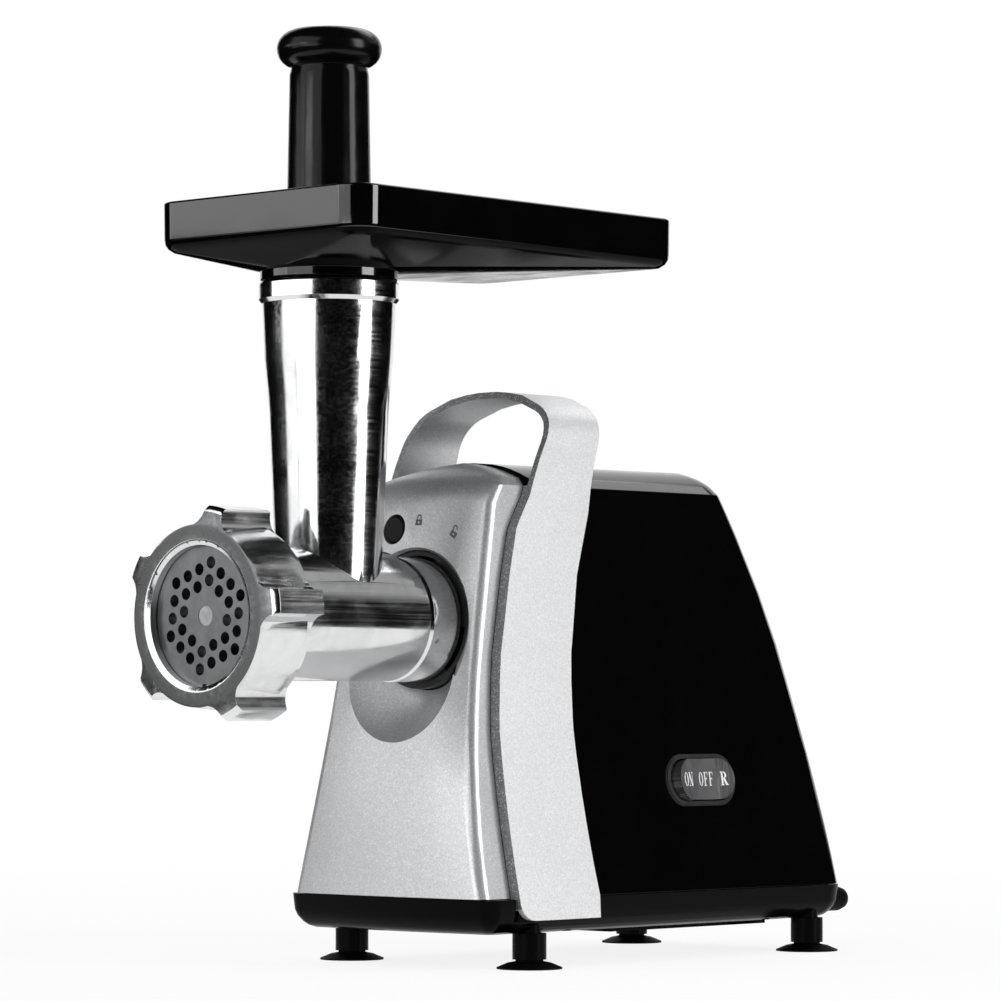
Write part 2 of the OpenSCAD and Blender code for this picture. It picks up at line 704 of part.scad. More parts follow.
motor_shaft_r = 3;
pinion_bore_r = 2;
module motor_bearings() {
  color([0.7, 0.55, 0.3]) placed() {
    on_axis(case_back_y + 9, motor_z) ring(8, motor_shaft_r + run_gap, 7);
    on_axis(motor_rear_y + 6, motor_z) ring(7, motor_shaft_r + run_gap, 6);
  }
}
module motor_shaft() {
  color(steel) placed() {
    on_axis(motor_rear_y + 5, motor_z) cylinder(r = motor_shaft_r, h = motor_rear_y + 5 - case_back_y);
    on_axis(case_back_y, motor_z) cylinder(r = pinion_bore_r, h = case_back_y - stage1_y + 9);
  }
}
module motor_pinion() {
  color(steel) placed() on_axis(stage1_y + 1, motor_z) difference() {
    linear_extrude(10) gear2d(motor_teeth, first_m, 90 + 180 / motor_teeth);
    translate([0, 0, -1]) cylinder(r = pinion_bore_r, h = 12);
  }
}
armature_r = 16.9;
module armature_core() {
  color([0.35, 0.35, 0.38]) placed() on_axis(motor_y + stator_l / 2, motor_z) difference() {
    cylinder(r = armature_r, h = stator_l);
    for (a = [0 : 30 : 330]) rotate(a) translate([armature_r - 4, -1, -1]) cube([6, 2, stator_l + 2]);
    translate([0, 0, -1]) cylinder(r = motor_shaft_r, h = stator_l + 2);
  }
}
// End windings, from y to a length l towards the outlet
module armature_coils() {
  color([0.72, 0.4, 0.2]) placed() {
    on_axis(motor_y + stator_l / 2 + 7, motor_z) ring(12.5, motor_shaft_r + 1, 6.8);
    on_axis(motor_y - stator_l / 2 - 0.2, motor_z) ring(12.5, motor_shaft_r + 1, 4.6);
  }
}
comm_y = 76;
module commutator() {
  color([0.75, 0.5, 0.3]) placed() on_axis(comm_y, motor_z) difference() {
    cylinder(r = 9, h = 14);
    for (a = [0 : 30 : 330]) rotate(a) translate([7.8, -0.3, -1]) cube([3, 0.6, 16]);
    translate([0, 0, -1]) cylinder(r = motor_shaft_r, h = 20);
  }
}
module carbon_brushes() {
  color([0.15, 0.15, 0.15]) placed() for (s = [0, 180]) translate([0, comm_y - 7, motor_z]) rotate([0, s, 0])
    translate([9.3, -3, -2.5]) cube([12, 6, 5]);
}
module brush_holders() {
  color([0.8, 0.65, 0.3]) placed() for (s = [0, 180]) translate([0, comm_y - 7, motor_z]) rotate([0, s, 0])
    difference() {
      translate([12, -4.2, -4]) cube([arm_x - 12, 8.4, 8]);
      translate([11, -3, -2.5]) cube([10.4, 6, 5]);
    }
}
fan_y = motor_y - stator_l / 2 - coil_over - 0.8;
fan_r = arm_x - 1;
fan_h = 7;
module cooling_fan() {
  color([0.2, 0.2, 0.22]) placed() on_axis(fan_y, motor_z) difference() {
    union() {
      cylinder(r = fan_r, h = 1.6);
      cylinder(r = 6, h = fan_h);
      for (a = [0 : 30 : 330]) rotate(a) translate([9, 0, 0]) rotate(18) translate([0, -0.7, 0])
        cube([fan_r - 10, 1.4, fan_h]);
    }
    translate([0, 0, -1]) cylinder(r = motor_shaft_r, h = fan_h + 2);
  }
}

// ---------------------------------------------------------------- socket and release
socket_front_y = -96;
flange_y = -75;
socket_r = 26.5;
spigot_r = 22;
lug_r = 24.2;
lug_y = -84;
lug_t = 4;
swing = 30;
socket_screw_at = [for (a = [60, 180, 300]) [29.6 * sin(a), 29.6 * cos(a)]];
module bayonet_socket() {
  color(black) placed() difference() {
    union() {
      on_axis(case_front_y) ring(socket_r, spigot_r + fit_gap, case_front_y - socket_front_y);
      on_axis(case_front_y) ring(33, socket_r - 1, case_front_y - flange_y);
    }
    on_axis(lug_y + 0.3) cylinder(r = lug_r + 0.4, h = lug_t + 0.6);
    // entry slots that meet the lugs once the head is swung open
    for (k = [0 : 2]) on_axis(lug_y - 1) rotate(-swing + k * 120) rotate(-23) pie(lug_r + 0.6, 46, 20);
    for (p = socket_screw_at) on_axis(-70, axis_z + p[1], p[0]) cylinder(r = 1.7, h = 8);
  }
}
// Sector of a disc from the angle 0 to a
module pie(r, a, h) {
  linear_extrude(h) intersection() {
    circle(r = r);
    polygon([[0, 0], [r * 2, 0], [r * 2, r * 2 * tan(a)]]);
  }
}
module socket_screws() {
  color(steel) placed() for (p = socket_screw_at) {
    on_axis(case_front_y + 5.5, axis_z + p[1], p[0]) cylinder(r = 1.6, h = case_front_y + 5.5 - flange_y + eps);
    on_axis(flange_y, axis_z + p[1], p[0]) cylinder(r = 2.8, h = 2);
  }
}
button_out = 0.4;
button_cap_l = 10;
stem_pin_r = 2.2;
button_face_y = nose_y(button_z) + 0.4 - button_out;
stem_end_y = flange_y + 1.5;
module release_button() {
  color(black) placed() {
    on_axis(button_face_y + button_cap_l, button_z, button_x) {
      cylinder(r = button_r, h = button_cap_l - 0.9);
      translate([0, 0, button_cap_l - 0.9]) cylinder(r1 = button_r, r2 = button_r - 0.9, h = 0.9);
    }
    on_axis(stem_end_y, button_z, button_x) cylinder(r = stem_pin_r, h = stem_end_y - button_face_y - 9);
  }
}
guide_t = 3;
module button_guide() {
  color(black) placed() difference() {
    union() {
      on_axis(flange_y, button_z, button_x) cylinder(r = 9, h = guide_t);
      on_axis(flange_y, button_z, button_x) ring(7.9, button_r + fit_gap, 12);
    }
    on_axis(flange_y + 1, button_z, button_x) cylinder(r = stem_pin_r + fit_gap, h = 8);
  }
}
spring_turns = 3;
spring_r = 4;
wire_r = 0.4;
// Round wire wound to a coil of n turns, of height h
module coil(r, w, n, h) {
  steps = n * 14;
  sides = 6;
  pts = [for (i = [0 : steps], j = [0 : sides - 1])
    let (a = 360 * n * i / steps, b = 360 * j / sides)
    [(r + w * cos(b)) * cos(a), (r + w * cos(b)) * sin(a), w + (h - 2 * w) * i / steps + w * sin(b)]];
  polyhedron(pts, concat(
    [[for (j = [0 : sides - 1]) j]],
    [for (i = [0 : steps - 1], j = [0 : sides - 1])
      let (k = (j + 1) % sides, o = i * sides)
      [o + j, o + sides + j, o + sides + k, o + k]],
    [[for (j = [sides - 1 : -1 : 0]) steps * sides + j]]));
}
module button_spring() {
  spring_l = flange_y - guide_t - button_face_y - button_cap_l - 0.4;
  color(steel) placed() on_axis(flange_y - guide_t - 0.2, button_z, button_x)
    coil(spring_r, wire_r, spring_turns, spring_l);
}

// ---------------------------------------------------------------- switch
side_slope = (half_w(switch_z - 8) - half_w(switch_z + 8)) / 16;
side_tilt = atan(side_slope);
rocker_l = bezel_l - 9;
rocker_h = bezel_h - 4.4;
rocker_out = 3.6;
pin_depth = 7;
rocker_pin_r = 1.5;
rocker_crown_r = 60;
switch_depth = 15;
// Local frame of the switch: +Z outwards, +Y to the rear, -X up
module at_switch() {
  translate([half_w(switch_z), switch_y, switch_z]) rotate([0, 90 - side_tilt, 0]) children();
}
module stadium(l, h) {
  for (s = [-1, 1]) translate([0, s * (l - h) / 2]) circle(r = h / 2);
  square([h, l - h], center = true);
}
module bezel_hole(h) {
  translate([0, 0, -h / 2]) linear_extrude(h) stadium(bezel_l - 2, bezel_h - 2);
}
module switch_bezel() {
  color(black) placed() at_switch() difference() {
    union() {
      translate([0, 0, 0.15]) linear_extrude(0.75) stadium(bezel_l, bezel_h);
      translate([0, 0, 0.9]) linear_extrude(0.4) stadium(bezel_l - 1, bezel_h - 1);
      translate([0, 0, -4]) linear_extrude(4.5) stadium(bezel_l - 2.6, bezel_h - 2.6);
    }
    translate([0, 0, -5]) linear_extrude(10) stadium(bezel_l - 4.4, bezel_h - 3.6);
  }
}
module rocker() {
  color([0.16, 0.16, 0.17]) placed() at_switch() difference() {
    intersection() {
      translate([0, 0, -pin_depth - 2]) linear_extrude(20) stadium(rocker_l, rocker_h);
      translate([0, 0, rocker_out - rocker_crown_r]) rotate([0, 90, 0])
        cylinder(r = rocker_crown_r, h = 60, center = true, $fn = 180);
    }
    translate([0, 0, -pin_depth]) rotate([0, 90, 0]) cylinder(r = rocker_pin_r + run_gap, h = 60, center = true);
  }
}
module rocker_pin() {
  color(steel) placed() at_switch() translate([0, 0, -pin_depth]) rotate([0, 90, 0])
    cylinder(r = rocker_pin_r, h = rocker_h + 2.6, center = true);
}
module switch_body() {
  color([0.2, 0.2, 0.2]) placed() at_switch() difference() {
    translate([0, 0, -switch_depth]) linear_extrude(switch_depth - 4.2)
      square([bezel_h - 1.6, bezel_l - 6], center = true);
    translate([0, 0, 1.8 - switch_depth]) linear_extrude(20) square([rocker_h + 0.8, rocker_l + 1.6], center = true);
    translate([0, 0, -pin_depth]) rotate([0, 90, 0]) cylinder(r = rocker_pin_r, h = rocker_h + 4, center = true);
  }
}

// ---------------------------------------------------------------- grinding head
lip_t = 4.2;
plate_front_y = nut_front_y + lip_t + 0.3;
plate_rear_y = plate_front_y + plate_t;
barrel_end_y = plate_front_y + 0.8;
bore_r = barrel_r - cast_wall;
thread_r = plate_r + 3;
thread_end_y = nut_front_y + nut_depth - 1.5;
chamber_r = plate_r - 1.6;
knife_t = 6;
bush_r = 14;
hub_r = 12;
head_rear_y = -82;
shoulder_y = -collar_rear_y - 9;
// Height where the straight upper part of the tube ends
waist_high_z = tube_top_z - 29;
saddle_lift = 4;
saddle_r = barrel_r - 1.6;
saddle_back = 26;
saddle_l = saddle_back + 35;
module head_solid() {
  on_axis(-collar_rear_y) {
    cylinder(r = barrel_r + 0.4, h = collar_l - 0.6);
    translate([0, 0, collar_l - 0.6]) cylinder(r1 = barrel_r + 0.4, r2 = barrel_r - 0.6, h = 1);
  }
  on_axis(-collar_rear_y - collar_l + 1) cylinder(r = barrel_r - 0.6, h = 3);
  on_axis(-collar_rear_y - collar_l - 1) cylinder(r = barrel_r, h = barrel_front_y - collar_rear_y - 16);
  on_axis(thread_end_y + 7) cylinder(r1 = barrel_r, r2 = thread_r - 1.4, h = 7);
  on_axis(thread_end_y + 0.2) cylinder(r = thread_r, h = thread_end_y + 0.2 - barrel_end_y);
  // tube and its collar
  translate([0, -tube_y, 0]) rotate_extrude() polygon([[0, axis_z + 8], [tube_low_r - 0.4, axis_z + 8],
    [tube_low_r + 2.4, waist_high_z - 20], [tube_top_r - 1, waist_high_z],
    [tube_top_r, tube_top_z - 8], [tube_top_r, tube_top_z - 2], [0, tube_top_z - 2]]);
  // the casting is thicker on top, round the foot of the tube
  translate([0, 0, saddle_lift]) on_axis(-tube_y + saddle_back + 3)
    rotate_extrude() polygon([[0, 0], [saddle_r - 2.3, 0], [saddle_r, 3], [saddle_r, saddle_l], [0, saddle_l]]);
  translate([0, -tube_y, tube_top_z - tube_collar_h]) {
    cylinder(r1 = tube_top_r - 0.2, r2 = tube_collar_r, h = 1.8);
    translate([0, 0, 1.8]) cylinder(r = tube_collar_r, h = tube_collar_h - 2.8);
    translate([0, 0, tube_collar_h - 1]) cylinder(r1 = tube_collar_r, r2 = tube_collar_r - 0.8, h = 1);
  }
}
tube_in_r = tube_top_r - cast_wall;
tube_in_low_r = tube_low_r - cast_wall + 0.2;
module grinder_head() {
  color([0.78, 0.79, 0.81]) placed() difference() {
    union() {
      head_solid();
      on_axis(head_rear_y) cylinder(r = spigot_r, h = collar_rear_y + head_rear_y + 1);
      for (k = [0 : 2]) on_axis(lug_y) rotate(k * 120) rotate(-20) pie(lug_r, 40, lug_t);
    }
    // plate seat, knife chamber and barrel bore
    on_axis(plate_rear_y) cylinder(r = plate_r + fit_gap / 2, h = 20);
    on_axis(plate_rear_y + knife_t + 3) cylinder(r = chamber_r, h = knife_t + 4);
    on_axis(plate_rear_y + knife_t + 9) cylinder(r1 = bore_r, r2 = chamber_r, h = 6.01);
    on_axis(shoulder_y) cylinder(r = bore_r, h = 90);
    on_axis(head_rear_y + 1) cylinder(r = bush_r, h = 60);
    // throat of the hopper tube
    translate([0, -tube_y, axis_z]) cylinder(r = tube_in_low_r, h = 20);
    translate([0, -tube_y, axis_z + 18]) cylinder(r1 = tube_in_low_r, r2 = tube_in_r, h = tube_top_z - axis_z - 36);
    translate([0, -tube_y, tube_top_z - 18.01]) cylinder(r = tube_in_r, h = 30);
    // keyway for the plate
    on_axis(plate_rear_y, axis_z - plate_r) translate([-1.6, -1.6, 0]) cube([3.2, 4, 10]);
  }
}
plate_bore_r = 3.7;
plate_turn = -8.3;
module perforated_plate() {
  color([0.35, 0.36, 0.38]) placed() difference() {
    on_axis(plate_rear_y) cylinder(r = plate_r, h = plate_t);
    on_axis(plate_rear_y + 1) cylinder(r = plate_bore_r, h = plate_t + 2);
    on_axis(plate_rear_y + 1) rotate(plate_turn) for (ring_no = [2, 3], side = [0 : 5], j = [0 : ring_no - 1])
      rotate(60 * side + 90) translate([ring_no * hole_pitch, 0]) rotate(120) translate([j * hole_pitch, 0, 0])
        cylinder(d = hole_d, h = plate_t + 2);
    on_axis(plate_rear_y + 1, axis_z - plate_r) translate([-1.5, -3, 0]) cube([3, 5, plate_t + 2]);
  }
}
module plate_key() {
  color(steel) placed() on_axis(plate_rear_y - 0.3, axis_z - plate_r)
    translate([-1.4, -1.2, 0]) cube([2.8, 3, 3]);
}
module head_bush() {
  color([0.9, 0.9, 0.86]) placed() on_axis(head_rear_y - 2)
    ring(bush_r, hub_r + run_gap, head_rear_y - 2 - shoulder_y - fit_gap);
}
washer_t = 0.5;
disc_t = 1.4;
auger_front_y = plate_rear_y + knife_t + fit_gap;
auger_rear_y = shoulder_y - run_gap - washer_t - disc_t;
auger_r = bore_r - 0.5;
hub_rear_y = -88;
module auger() {
  color([0.74, 0.75, 0.77]) placed() {
    on_axis(auger_rear_y)
      linear_extrude(auger_rear_y - auger_front_y, twist = 900, slices = 64, $fn = 20)
      union() {
        circle(r = 8, $fn = 12);
        intersection() {
          circle(r = auger_r, $fn = 40);
          polygon([[0, -4], [auger_r + 1, -1.6], [auger_r + 1, 1.6], [0, 4]]);
        }
      }
    // drive square for the knife and stub for the plate
    on_axis(auger_front_y) {
      translate([-4, -4, 0]) cube([8, 8, knife_t]);
      cylinder(r = plate_bore_r - run_gap, h = auger_front_y - plate_front_y - 0.2);
    }
    on_axis(auger_rear_y + disc_t) cylinder(r = 15, h = disc_t);
  }
}
module auger_washer() {
  color([0.92, 0.92, 0.9]) placed() on_axis(shoulder_y - run_gap) ring(18, hub_r + run_gap, washer_t);
}
module cutting_knife() {
  color([0.62, 0.63, 0.66]) placed() on_axis(auger_front_y) difference() {
    union() {
      cylinder(r = 8.5, h = knife_t);
      for (a = [0 : 90 : 270]) rotate(a) linear_extrude(knife_t)
        polygon([[4, -6], [chamber_r - 5, -4.4], [chamber_r - 1.2, -1.2], [chamber_r - 1.2, 0.6], [6, 3.5]]);
    }
    translate([-4.1, -4.1, -1]) cube([8.2, 8.2, knife_t + 2]);
  }
}
module drive_coupling() {
  color([0.3, 0.3, 0.32]) placed() on_axis(hub_rear_y) difference() {
    cylinder(r = hub_r, h = hub_rear_y - auger_rear_y - disc_t);
    translate([0, 0, -1]) cylinder(r = hex_r + 0.1, h = 17.2, $fn = 6);
  }
}
// ---------------------------------------------------------------- ring nut
lug_tip_w = 9;
flank_r = 8;
lug_turn = -11;
// Lugs run out into the rim in hollow flanks, whose centres lie at (flank_x, flank_y)
flank_y = lug_tip_w / 2 + flank_r;
flank_x = sqrt(pow(nut_front_r + flank_r - 0.2, 2) - pow(flank_y, 2));
module nut_plan() {
  circle(r = nut_front_r);
  for (i = [0 : nut_lugs - 1]) rotate(90 + lug_turn - i * 360 / nut_lugs) difference() {
    intersection() {
      circle(r = nut_lug_r);
      polygon([[0, 0], [flank_x, -flank_y], [flank_x + 9, -flank_y], [flank_x + 9, flank_y], [flank_x, flank_y]]);
    }
    for (s = [-1, 1]) translate([flank_x, s * flank_y]) circle(r = flank_r);
  }
}
module ring_nut() {
  color([0.8, 0.81, 0.83]) placed() difference() {
    on_axis(nut_front_y + nut_depth) {
      intersection() {
        linear_extrude(nut_depth) nut_plan();
        rotate_extrude() polygon([[0, 0], [nut_lug_r - 0.6, 0], [nut_lug_r + 1, 1.6],
          [nut_lug_r + 1, nut_depth - 4.6], [nut_lug_r - 0.5, nut_depth - 2.4], [nut_lug_r - 2.2, nut_depth - 1],
          [nut_front_r + 1.4, nut_depth - 0.4], [nut_front_r - 0.8, nut_depth], [0, nut_depth]]);
      }
      rotate_extrude() polygon([[0, 2], [nut_rear_r - 1.4, 2], [nut_rear_r, 3.4], [nut_rear_r, 7],
        [nut_front_r + 0.3, nut_depth - 4], [nut_front_r - 0.1, nut_depth - 1.2], [nut_front_r - 1.2, nut_depth - 0.1],
        [0, nut_depth - 0.1]]);
    }
    // outlet, plate pocket and thread bore
    on_axis(nut_front_y + lip_t + 1) cylinder(r = nut_lip_r, h = 10);
    on_axis(nut_front_y + 1.2) cylinder(r1 = nut_lip_r, r2 = nut_lip_r + 2.4, h = 1.3);
    on_axis(nut_front_y + nut_depth + 1) cylinder(r = thread_r + 0.3, h = nut_depth + 1 - lip_t);
  }
}

// ---------------------------------------------------------------- tray and pusher
throat_r = 19.4;
tray_floor_z = tube_top_z + fit_gap;
tray_mid_y = -tube_y - tray_front + tray_l / 2;
// Outline of the tray drawn in by d, and a circle with points that match it
function tray_ring(d) =
  let (r = max(tray_corner_r - d, 2), hx = tray_w / 2 - d - r, hy = tray_l / 2 - d - r)
  [for (q = [0 : 3]) each arc([(q == 0 || q == 3 ? 1 : -1) * hx, tray_mid_y + (q < 2 ? 1 : -1) * hy],
    r, 90 * q, 90 * q + 90, 7)];
function throat_ring(r) = [for (q = [0 : 3]) each arc([0, -tube_y], r, 90 * q + 5, 90 * q + 85, 7)];
// Neck of the tray between the tube's collar and the sloping floor
neck_h = 4.4;
inner_floor_z = tray_floor_z + neck_h + tray_wall;
module feed_tray() {
  rim_z = tray_top_z - tray_rim_h;
  color(black) placed() difference() {
    union() {
      loft([throat_ring(tube_collar_r - 0.9), throat_ring(tube_collar_r - 0.5), throat_ring(tube_collar_r - 0.5),
        throat_ring(tube_collar_r + 1.5), tray_ring(4), tray_ring(1.8), tray_ring(0.6), tray_ring(0.2),
        tray_ring(0), tray_ring(0.6)],
        [tray_floor_z, tray_floor_z + 0.5, tray_floor_z + neck_h - 0.6, tray_floor_z + neck_h,
        rim_z - 1.1, rim_z + 0.2, rim_z + 1.9, rim_z + 3.6, tray_top_z - 0.6, tray_top_z]);
      translate([0, -tube_y, tube_top_z - 14]) cylinder(r = tube_in_r - 0.4, h = 20);
    }
    loft([throat_ring(24), tray_ring(tray_wall + 2.4), tray_ring(tray_wall)],
      [inner_floor_z, rim_z + tray_wall + 1, tray_top_z + 1]);
    translate([0, -tube_y, tube_top_z - 20]) cylinder(r = throat_r, h = 40);
  }
}
plunger_r = tube_in_low_r - pusher_gap;
stop_z = inner_floor_z + fit_gap;
plunger_low_z = axis_z + auger_r + 14;
knob_edge = 7.5;
module pusher() {
  shaft_top = pusher_top_z - knob_h;
  color(black) placed() translate([0, -tube_y, 0]) rotate_extrude() polygon(concat(
    [[0, plunger_low_z], [plunger_r - 1, plunger_low_z], [plunger_r, plunger_low_z + 1.5],
      [plunger_r, stop_z], [22, stop_z], [22, stop_z + 2], [plunger_r, stop_z + 5]],
    [for (t = [0 : 0.25 : 1]) [mix(plunger_r, pusher_r, t), mix(stop_z + 10, shaft_top - 3, t)]],
    [for (a = [-75 : 15 : 75])
      [knob_r - knob_edge + knob_edge * cos(a), shaft_top + knob_h * 0.48 + knob_h * 0.48 * sin(a)]],
    [[0, pusher_top_z]]));
}

rear_housing();
front_cover();
handle_strap();
base();
foot_stems();
suction_cups();
base_screws();
bayonet_socket();
socket_screws();
gearbox_case();
gearbox_cover();
gearbox_screws();
output_bearing();
shaft_seal();
mid_axle();
stator_core();
field_coils();
motor_front_bracket();
motor_rear_bracket();
motor_bearings();
brush_holders();
carbon_brushes();
switch_bezel();
switch_body();
rocker_pin();
button_guide();
button_spring();
cord_gland();
grinder_head();
perforated_plate();
plate_key();
head_bush();
auger();
cutting_knife();
auger_washer();
drive_coupling();
output_shaft();
output_gear();
mid_gear();
mid_pinion();
motor_shaft();
motor_pinion();
armature_core();
armature_coils();
commutator();
cooling_fan();
ring_nut();
feed_tray();
pusher();
rocker();
release_button();
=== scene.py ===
# %% [markdown]
# # A small electric meat grinder, from its imported model to a finished picture
# The solids were drawn in a CAD program and packed into one fixed frame.
# Here every solid gets a real finish, and a few pieces that a moulder, a caster or a printer
# would add (rounded castings, printed signs) are modelled on top of it.
# The first cell brings the frame in.

# %% Load the imported model
import json
import math

import bpy
from mathutils import Matrix, Vector


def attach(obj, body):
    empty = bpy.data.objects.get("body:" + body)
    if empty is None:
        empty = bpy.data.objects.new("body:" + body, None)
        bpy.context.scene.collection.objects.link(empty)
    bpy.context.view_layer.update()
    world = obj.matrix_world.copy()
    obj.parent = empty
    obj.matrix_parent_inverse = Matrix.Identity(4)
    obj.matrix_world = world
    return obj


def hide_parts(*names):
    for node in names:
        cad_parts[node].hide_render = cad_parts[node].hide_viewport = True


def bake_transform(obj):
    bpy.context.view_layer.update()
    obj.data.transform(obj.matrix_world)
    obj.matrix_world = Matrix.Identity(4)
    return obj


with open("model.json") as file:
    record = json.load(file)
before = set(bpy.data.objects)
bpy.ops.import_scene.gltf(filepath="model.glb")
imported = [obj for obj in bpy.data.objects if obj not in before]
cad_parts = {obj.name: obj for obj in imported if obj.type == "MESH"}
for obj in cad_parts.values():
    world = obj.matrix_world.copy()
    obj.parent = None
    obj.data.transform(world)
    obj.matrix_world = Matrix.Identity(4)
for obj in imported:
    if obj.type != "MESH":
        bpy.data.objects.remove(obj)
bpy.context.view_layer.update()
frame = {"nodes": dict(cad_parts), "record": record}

nodes = frame["nodes"]

# %% [markdown]
# The camera stands low and well to the right of the machine's mouth, with a long lens.
# A long lens far away keeps the upright tube and the housing nearly free of perspective.
# The lens is worked out from pixels: a lens of f pixels on a picture of w pixels is
# f / w * 36 mm on Blender's 36 mm sensor.

# %% Camera
PICTURE_PX = 1001
LENS_PX = 4500
CAMERA_AT = Vector((1.194753, -1.301463, 0.101651))
AZIMUTH = math.radians(42.5)
PITCH = math.radians(2.54)

look = Vector((-math.sin(AZIMUTH) * math.cos(PITCH),
               math.cos(AZIMUTH) * math.cos(PITCH),
               math.sin(PITCH)))
lens = bpy.data.cameras.new("studio_lens")
lens.sensor_width = 36.0
lens.lens = LENS_PX / PICTURE_PX * lens.sensor_width
camera = bpy.data.objects.new("studio_camera", lens)
camera.location = CAMERA_AT
camera.rotation_euler = look.to_track_quat("-Z", "Y").to_euler()
bpy.context.scene.collection.objects.link(camera)
bpy.context.scene.camera = camera
print("lens", round(lens.lens, 1), "mm")

# %% [markdown]
# ## Tools for finishes
# Every finish is a small network of nodes. These helpers add nodes, wire them up and
# place shared effects, so that each material below reads like a recipe.

# %% Helpers for shader nodes
def wire(tree, source, target):
    """Links an output socket to an input socket."""
    tree.links.new(source, target)


def add(tree, kind, **values):
    """Adds a node and sets its properties and its unlinked inputs by name."""
    node = tree.nodes.new(kind)
    for name, value in values.items():
        if hasattr(node, name) and name not in node.inputs:
            setattr(node, name, value)
        else:
            node.inputs[name.replace("_", " ")].default_value = value
    return node


def calc(tree, operation, first, second=0.5):
    """A Math node: each operand is a socket or a number."""
    node = add(tree, "ShaderNodeMath", operation=operation)
    for slot_number, operand in enumerate((first, second)):
        if isinstance(operand, (int, float)):
            node.inputs[slot_number].default_value = operand
        else:
            wire(tree, operand, node.inputs[slot_number])
    return node.outputs[0]


def ramp(tree, value, low, high, to_low=0.0, to_high=1.0, smooth=False):
    """Maps a value from one range to another, held at both ends."""
    node = add(tree, "ShaderNodeMapRange", clamp=True)
    node.interpolation_type = "SMOOTHSTEP" if smooth else "LINEAR"
    limits = {"From Min": low, "From Max": high, "To Min": to_low, "To Max": to_high}
    for name, number in limits.items():
        node.inputs[name].default_value = number
    wire(tree, value, node.inputs["Value"])
    return node.outputs["Result"]


print("helpers for values: wire, add, calc, ramp")

# %% [markdown]
# Colours are mixed by a mask in the same way. A node group bundles a network under one
# name, so that several materials can share it, each with its own numbers.

# %% Helpers for colours and groups
def blend_colours(tree, mask, dark, light):
    """Goes from one colour to another by a mask; a colour is a socket or three numbers."""
    node = add(tree, "ShaderNodeMix", data_type="RGBA")
    wire(tree, mask, node.inputs[0])
    for number, colour in ((6, dark), (7, light)):
        if isinstance(colour, (tuple, list)):
            node.inputs[number].default_value = (*colour, 1.0)
        else:
            wire(tree, colour, node.inputs[number])
    return node.outputs[2]


def new_group(name, inputs, outputs):
    """A shader node group with named sockets: inputs are (name, default), outputs are names."""
    group = bpy.data.node_groups.new(name, "ShaderNodeTree")
    for label, default in inputs:
        socket = group.interface.new_socket(label, in_out="INPUT", socket_type="NodeSocketFloat")
        socket.default_value = default
    for label in outputs:
        group.interface.new_socket(label, in_out="OUTPUT", socket_type="NodeSocketFloat")
    return group, add(group, "NodeGroupInput"), add(group, "NodeGroupOutput")


def place(tree, group, **values):
    """Places a group in a material with its own values."""
    node = tree.nodes.new("ShaderNodeGroup")
    node.node_tree = group
    for name, value in values.items():
        node.inputs[name.replace("_", " ")].default_value = value
    return node


print("helpers for colours and groups: blend_colours, new_group, place")

# %% [markdown]
# Shared effects come first. Each is a node group that gives out a mask or a height, and
# never a shader. The first three cover a whole surface:
# - *handling* is the large, soft variation that hands and cloths leave on any surface;
# - *grain* is the fine texture of a moulding or a casting;
# - *flake* gives metal flakes in lacquer one cell to each flake, each with its own tone, and marks
#   the few cells that get a painted glint.

# %% Effects that cover a surface
def make_handling():
    group, given, out = new_group("handling", [("Size", 30.0)], ["Mask"])
    spot = add(group, "ShaderNodeTexCoord")
    noise = add(group, "ShaderNodeTexNoise", Detail=4.0, Roughness=0.6, Distortion=0.6)
    wire(group, spot.outputs["Object"], noise.inputs["Vector"])
    wire(group, given.outputs["Size"], noise.inputs["Scale"])
    wire(group, ramp(group, noise.outputs["Fac"], 0.3, 0.7, smooth=True), out.inputs["Mask"])
    return group


def make_grain():
    group, given, out = new_group("grain", [("Size", 1500.0)], ["Height"])
    spot = add(group, "ShaderNodeTexCoord")
    noise = add(group, "ShaderNodeTexNoise", Detail=3.0, Roughness=0.55)
    wire(group, spot.outputs["Object"], noise.inputs["Vector"])
    wire(group, given.outputs["Size"], noise.inputs["Scale"])
    wire(group, noise.outputs["Fac"], out.inputs["Height"])
    return group


def make_flake():
    group, given, out = new_group("flake", [("Size", 2200.0)], ["Tone", "Painted Glint"])
    spot = add(group, "ShaderNodeTexCoord")
    cells = add(group, "ShaderNodeTexVoronoi", Randomness=1.0)
    wire(group, spot.outputs["Object"], cells.inputs["Vector"])
    wire(group, given.outputs["Size"], cells.inputs["Scale"])
    apart = add(group, "ShaderNodeSeparateColor")
    wire(group, cells.outputs["Color"], apart.inputs[0])
    wire(group, apart.outputs[0], out.inputs["Tone"])
    # painted glint: the few cells that are painted near white, standing in for flakes that catch
    # the light
    wire(group, ramp(group, apart.outputs[1], 0.82, 1.0), out.inputs["Painted Glint"])
    return group


handling = make_handling()
grain = make_grain()
flake = make_flake()
print("effects:", handling.name, grain.name, flake.name)

# %% [markdown]
# The other three are marks of making and of use:
# - *brushed* is a set of long thin scratches along one axis;
# - *scuffs* are sparse thin scratches in random directions;
# - *worn edges* finds convex corners, where paint and polish wear first.

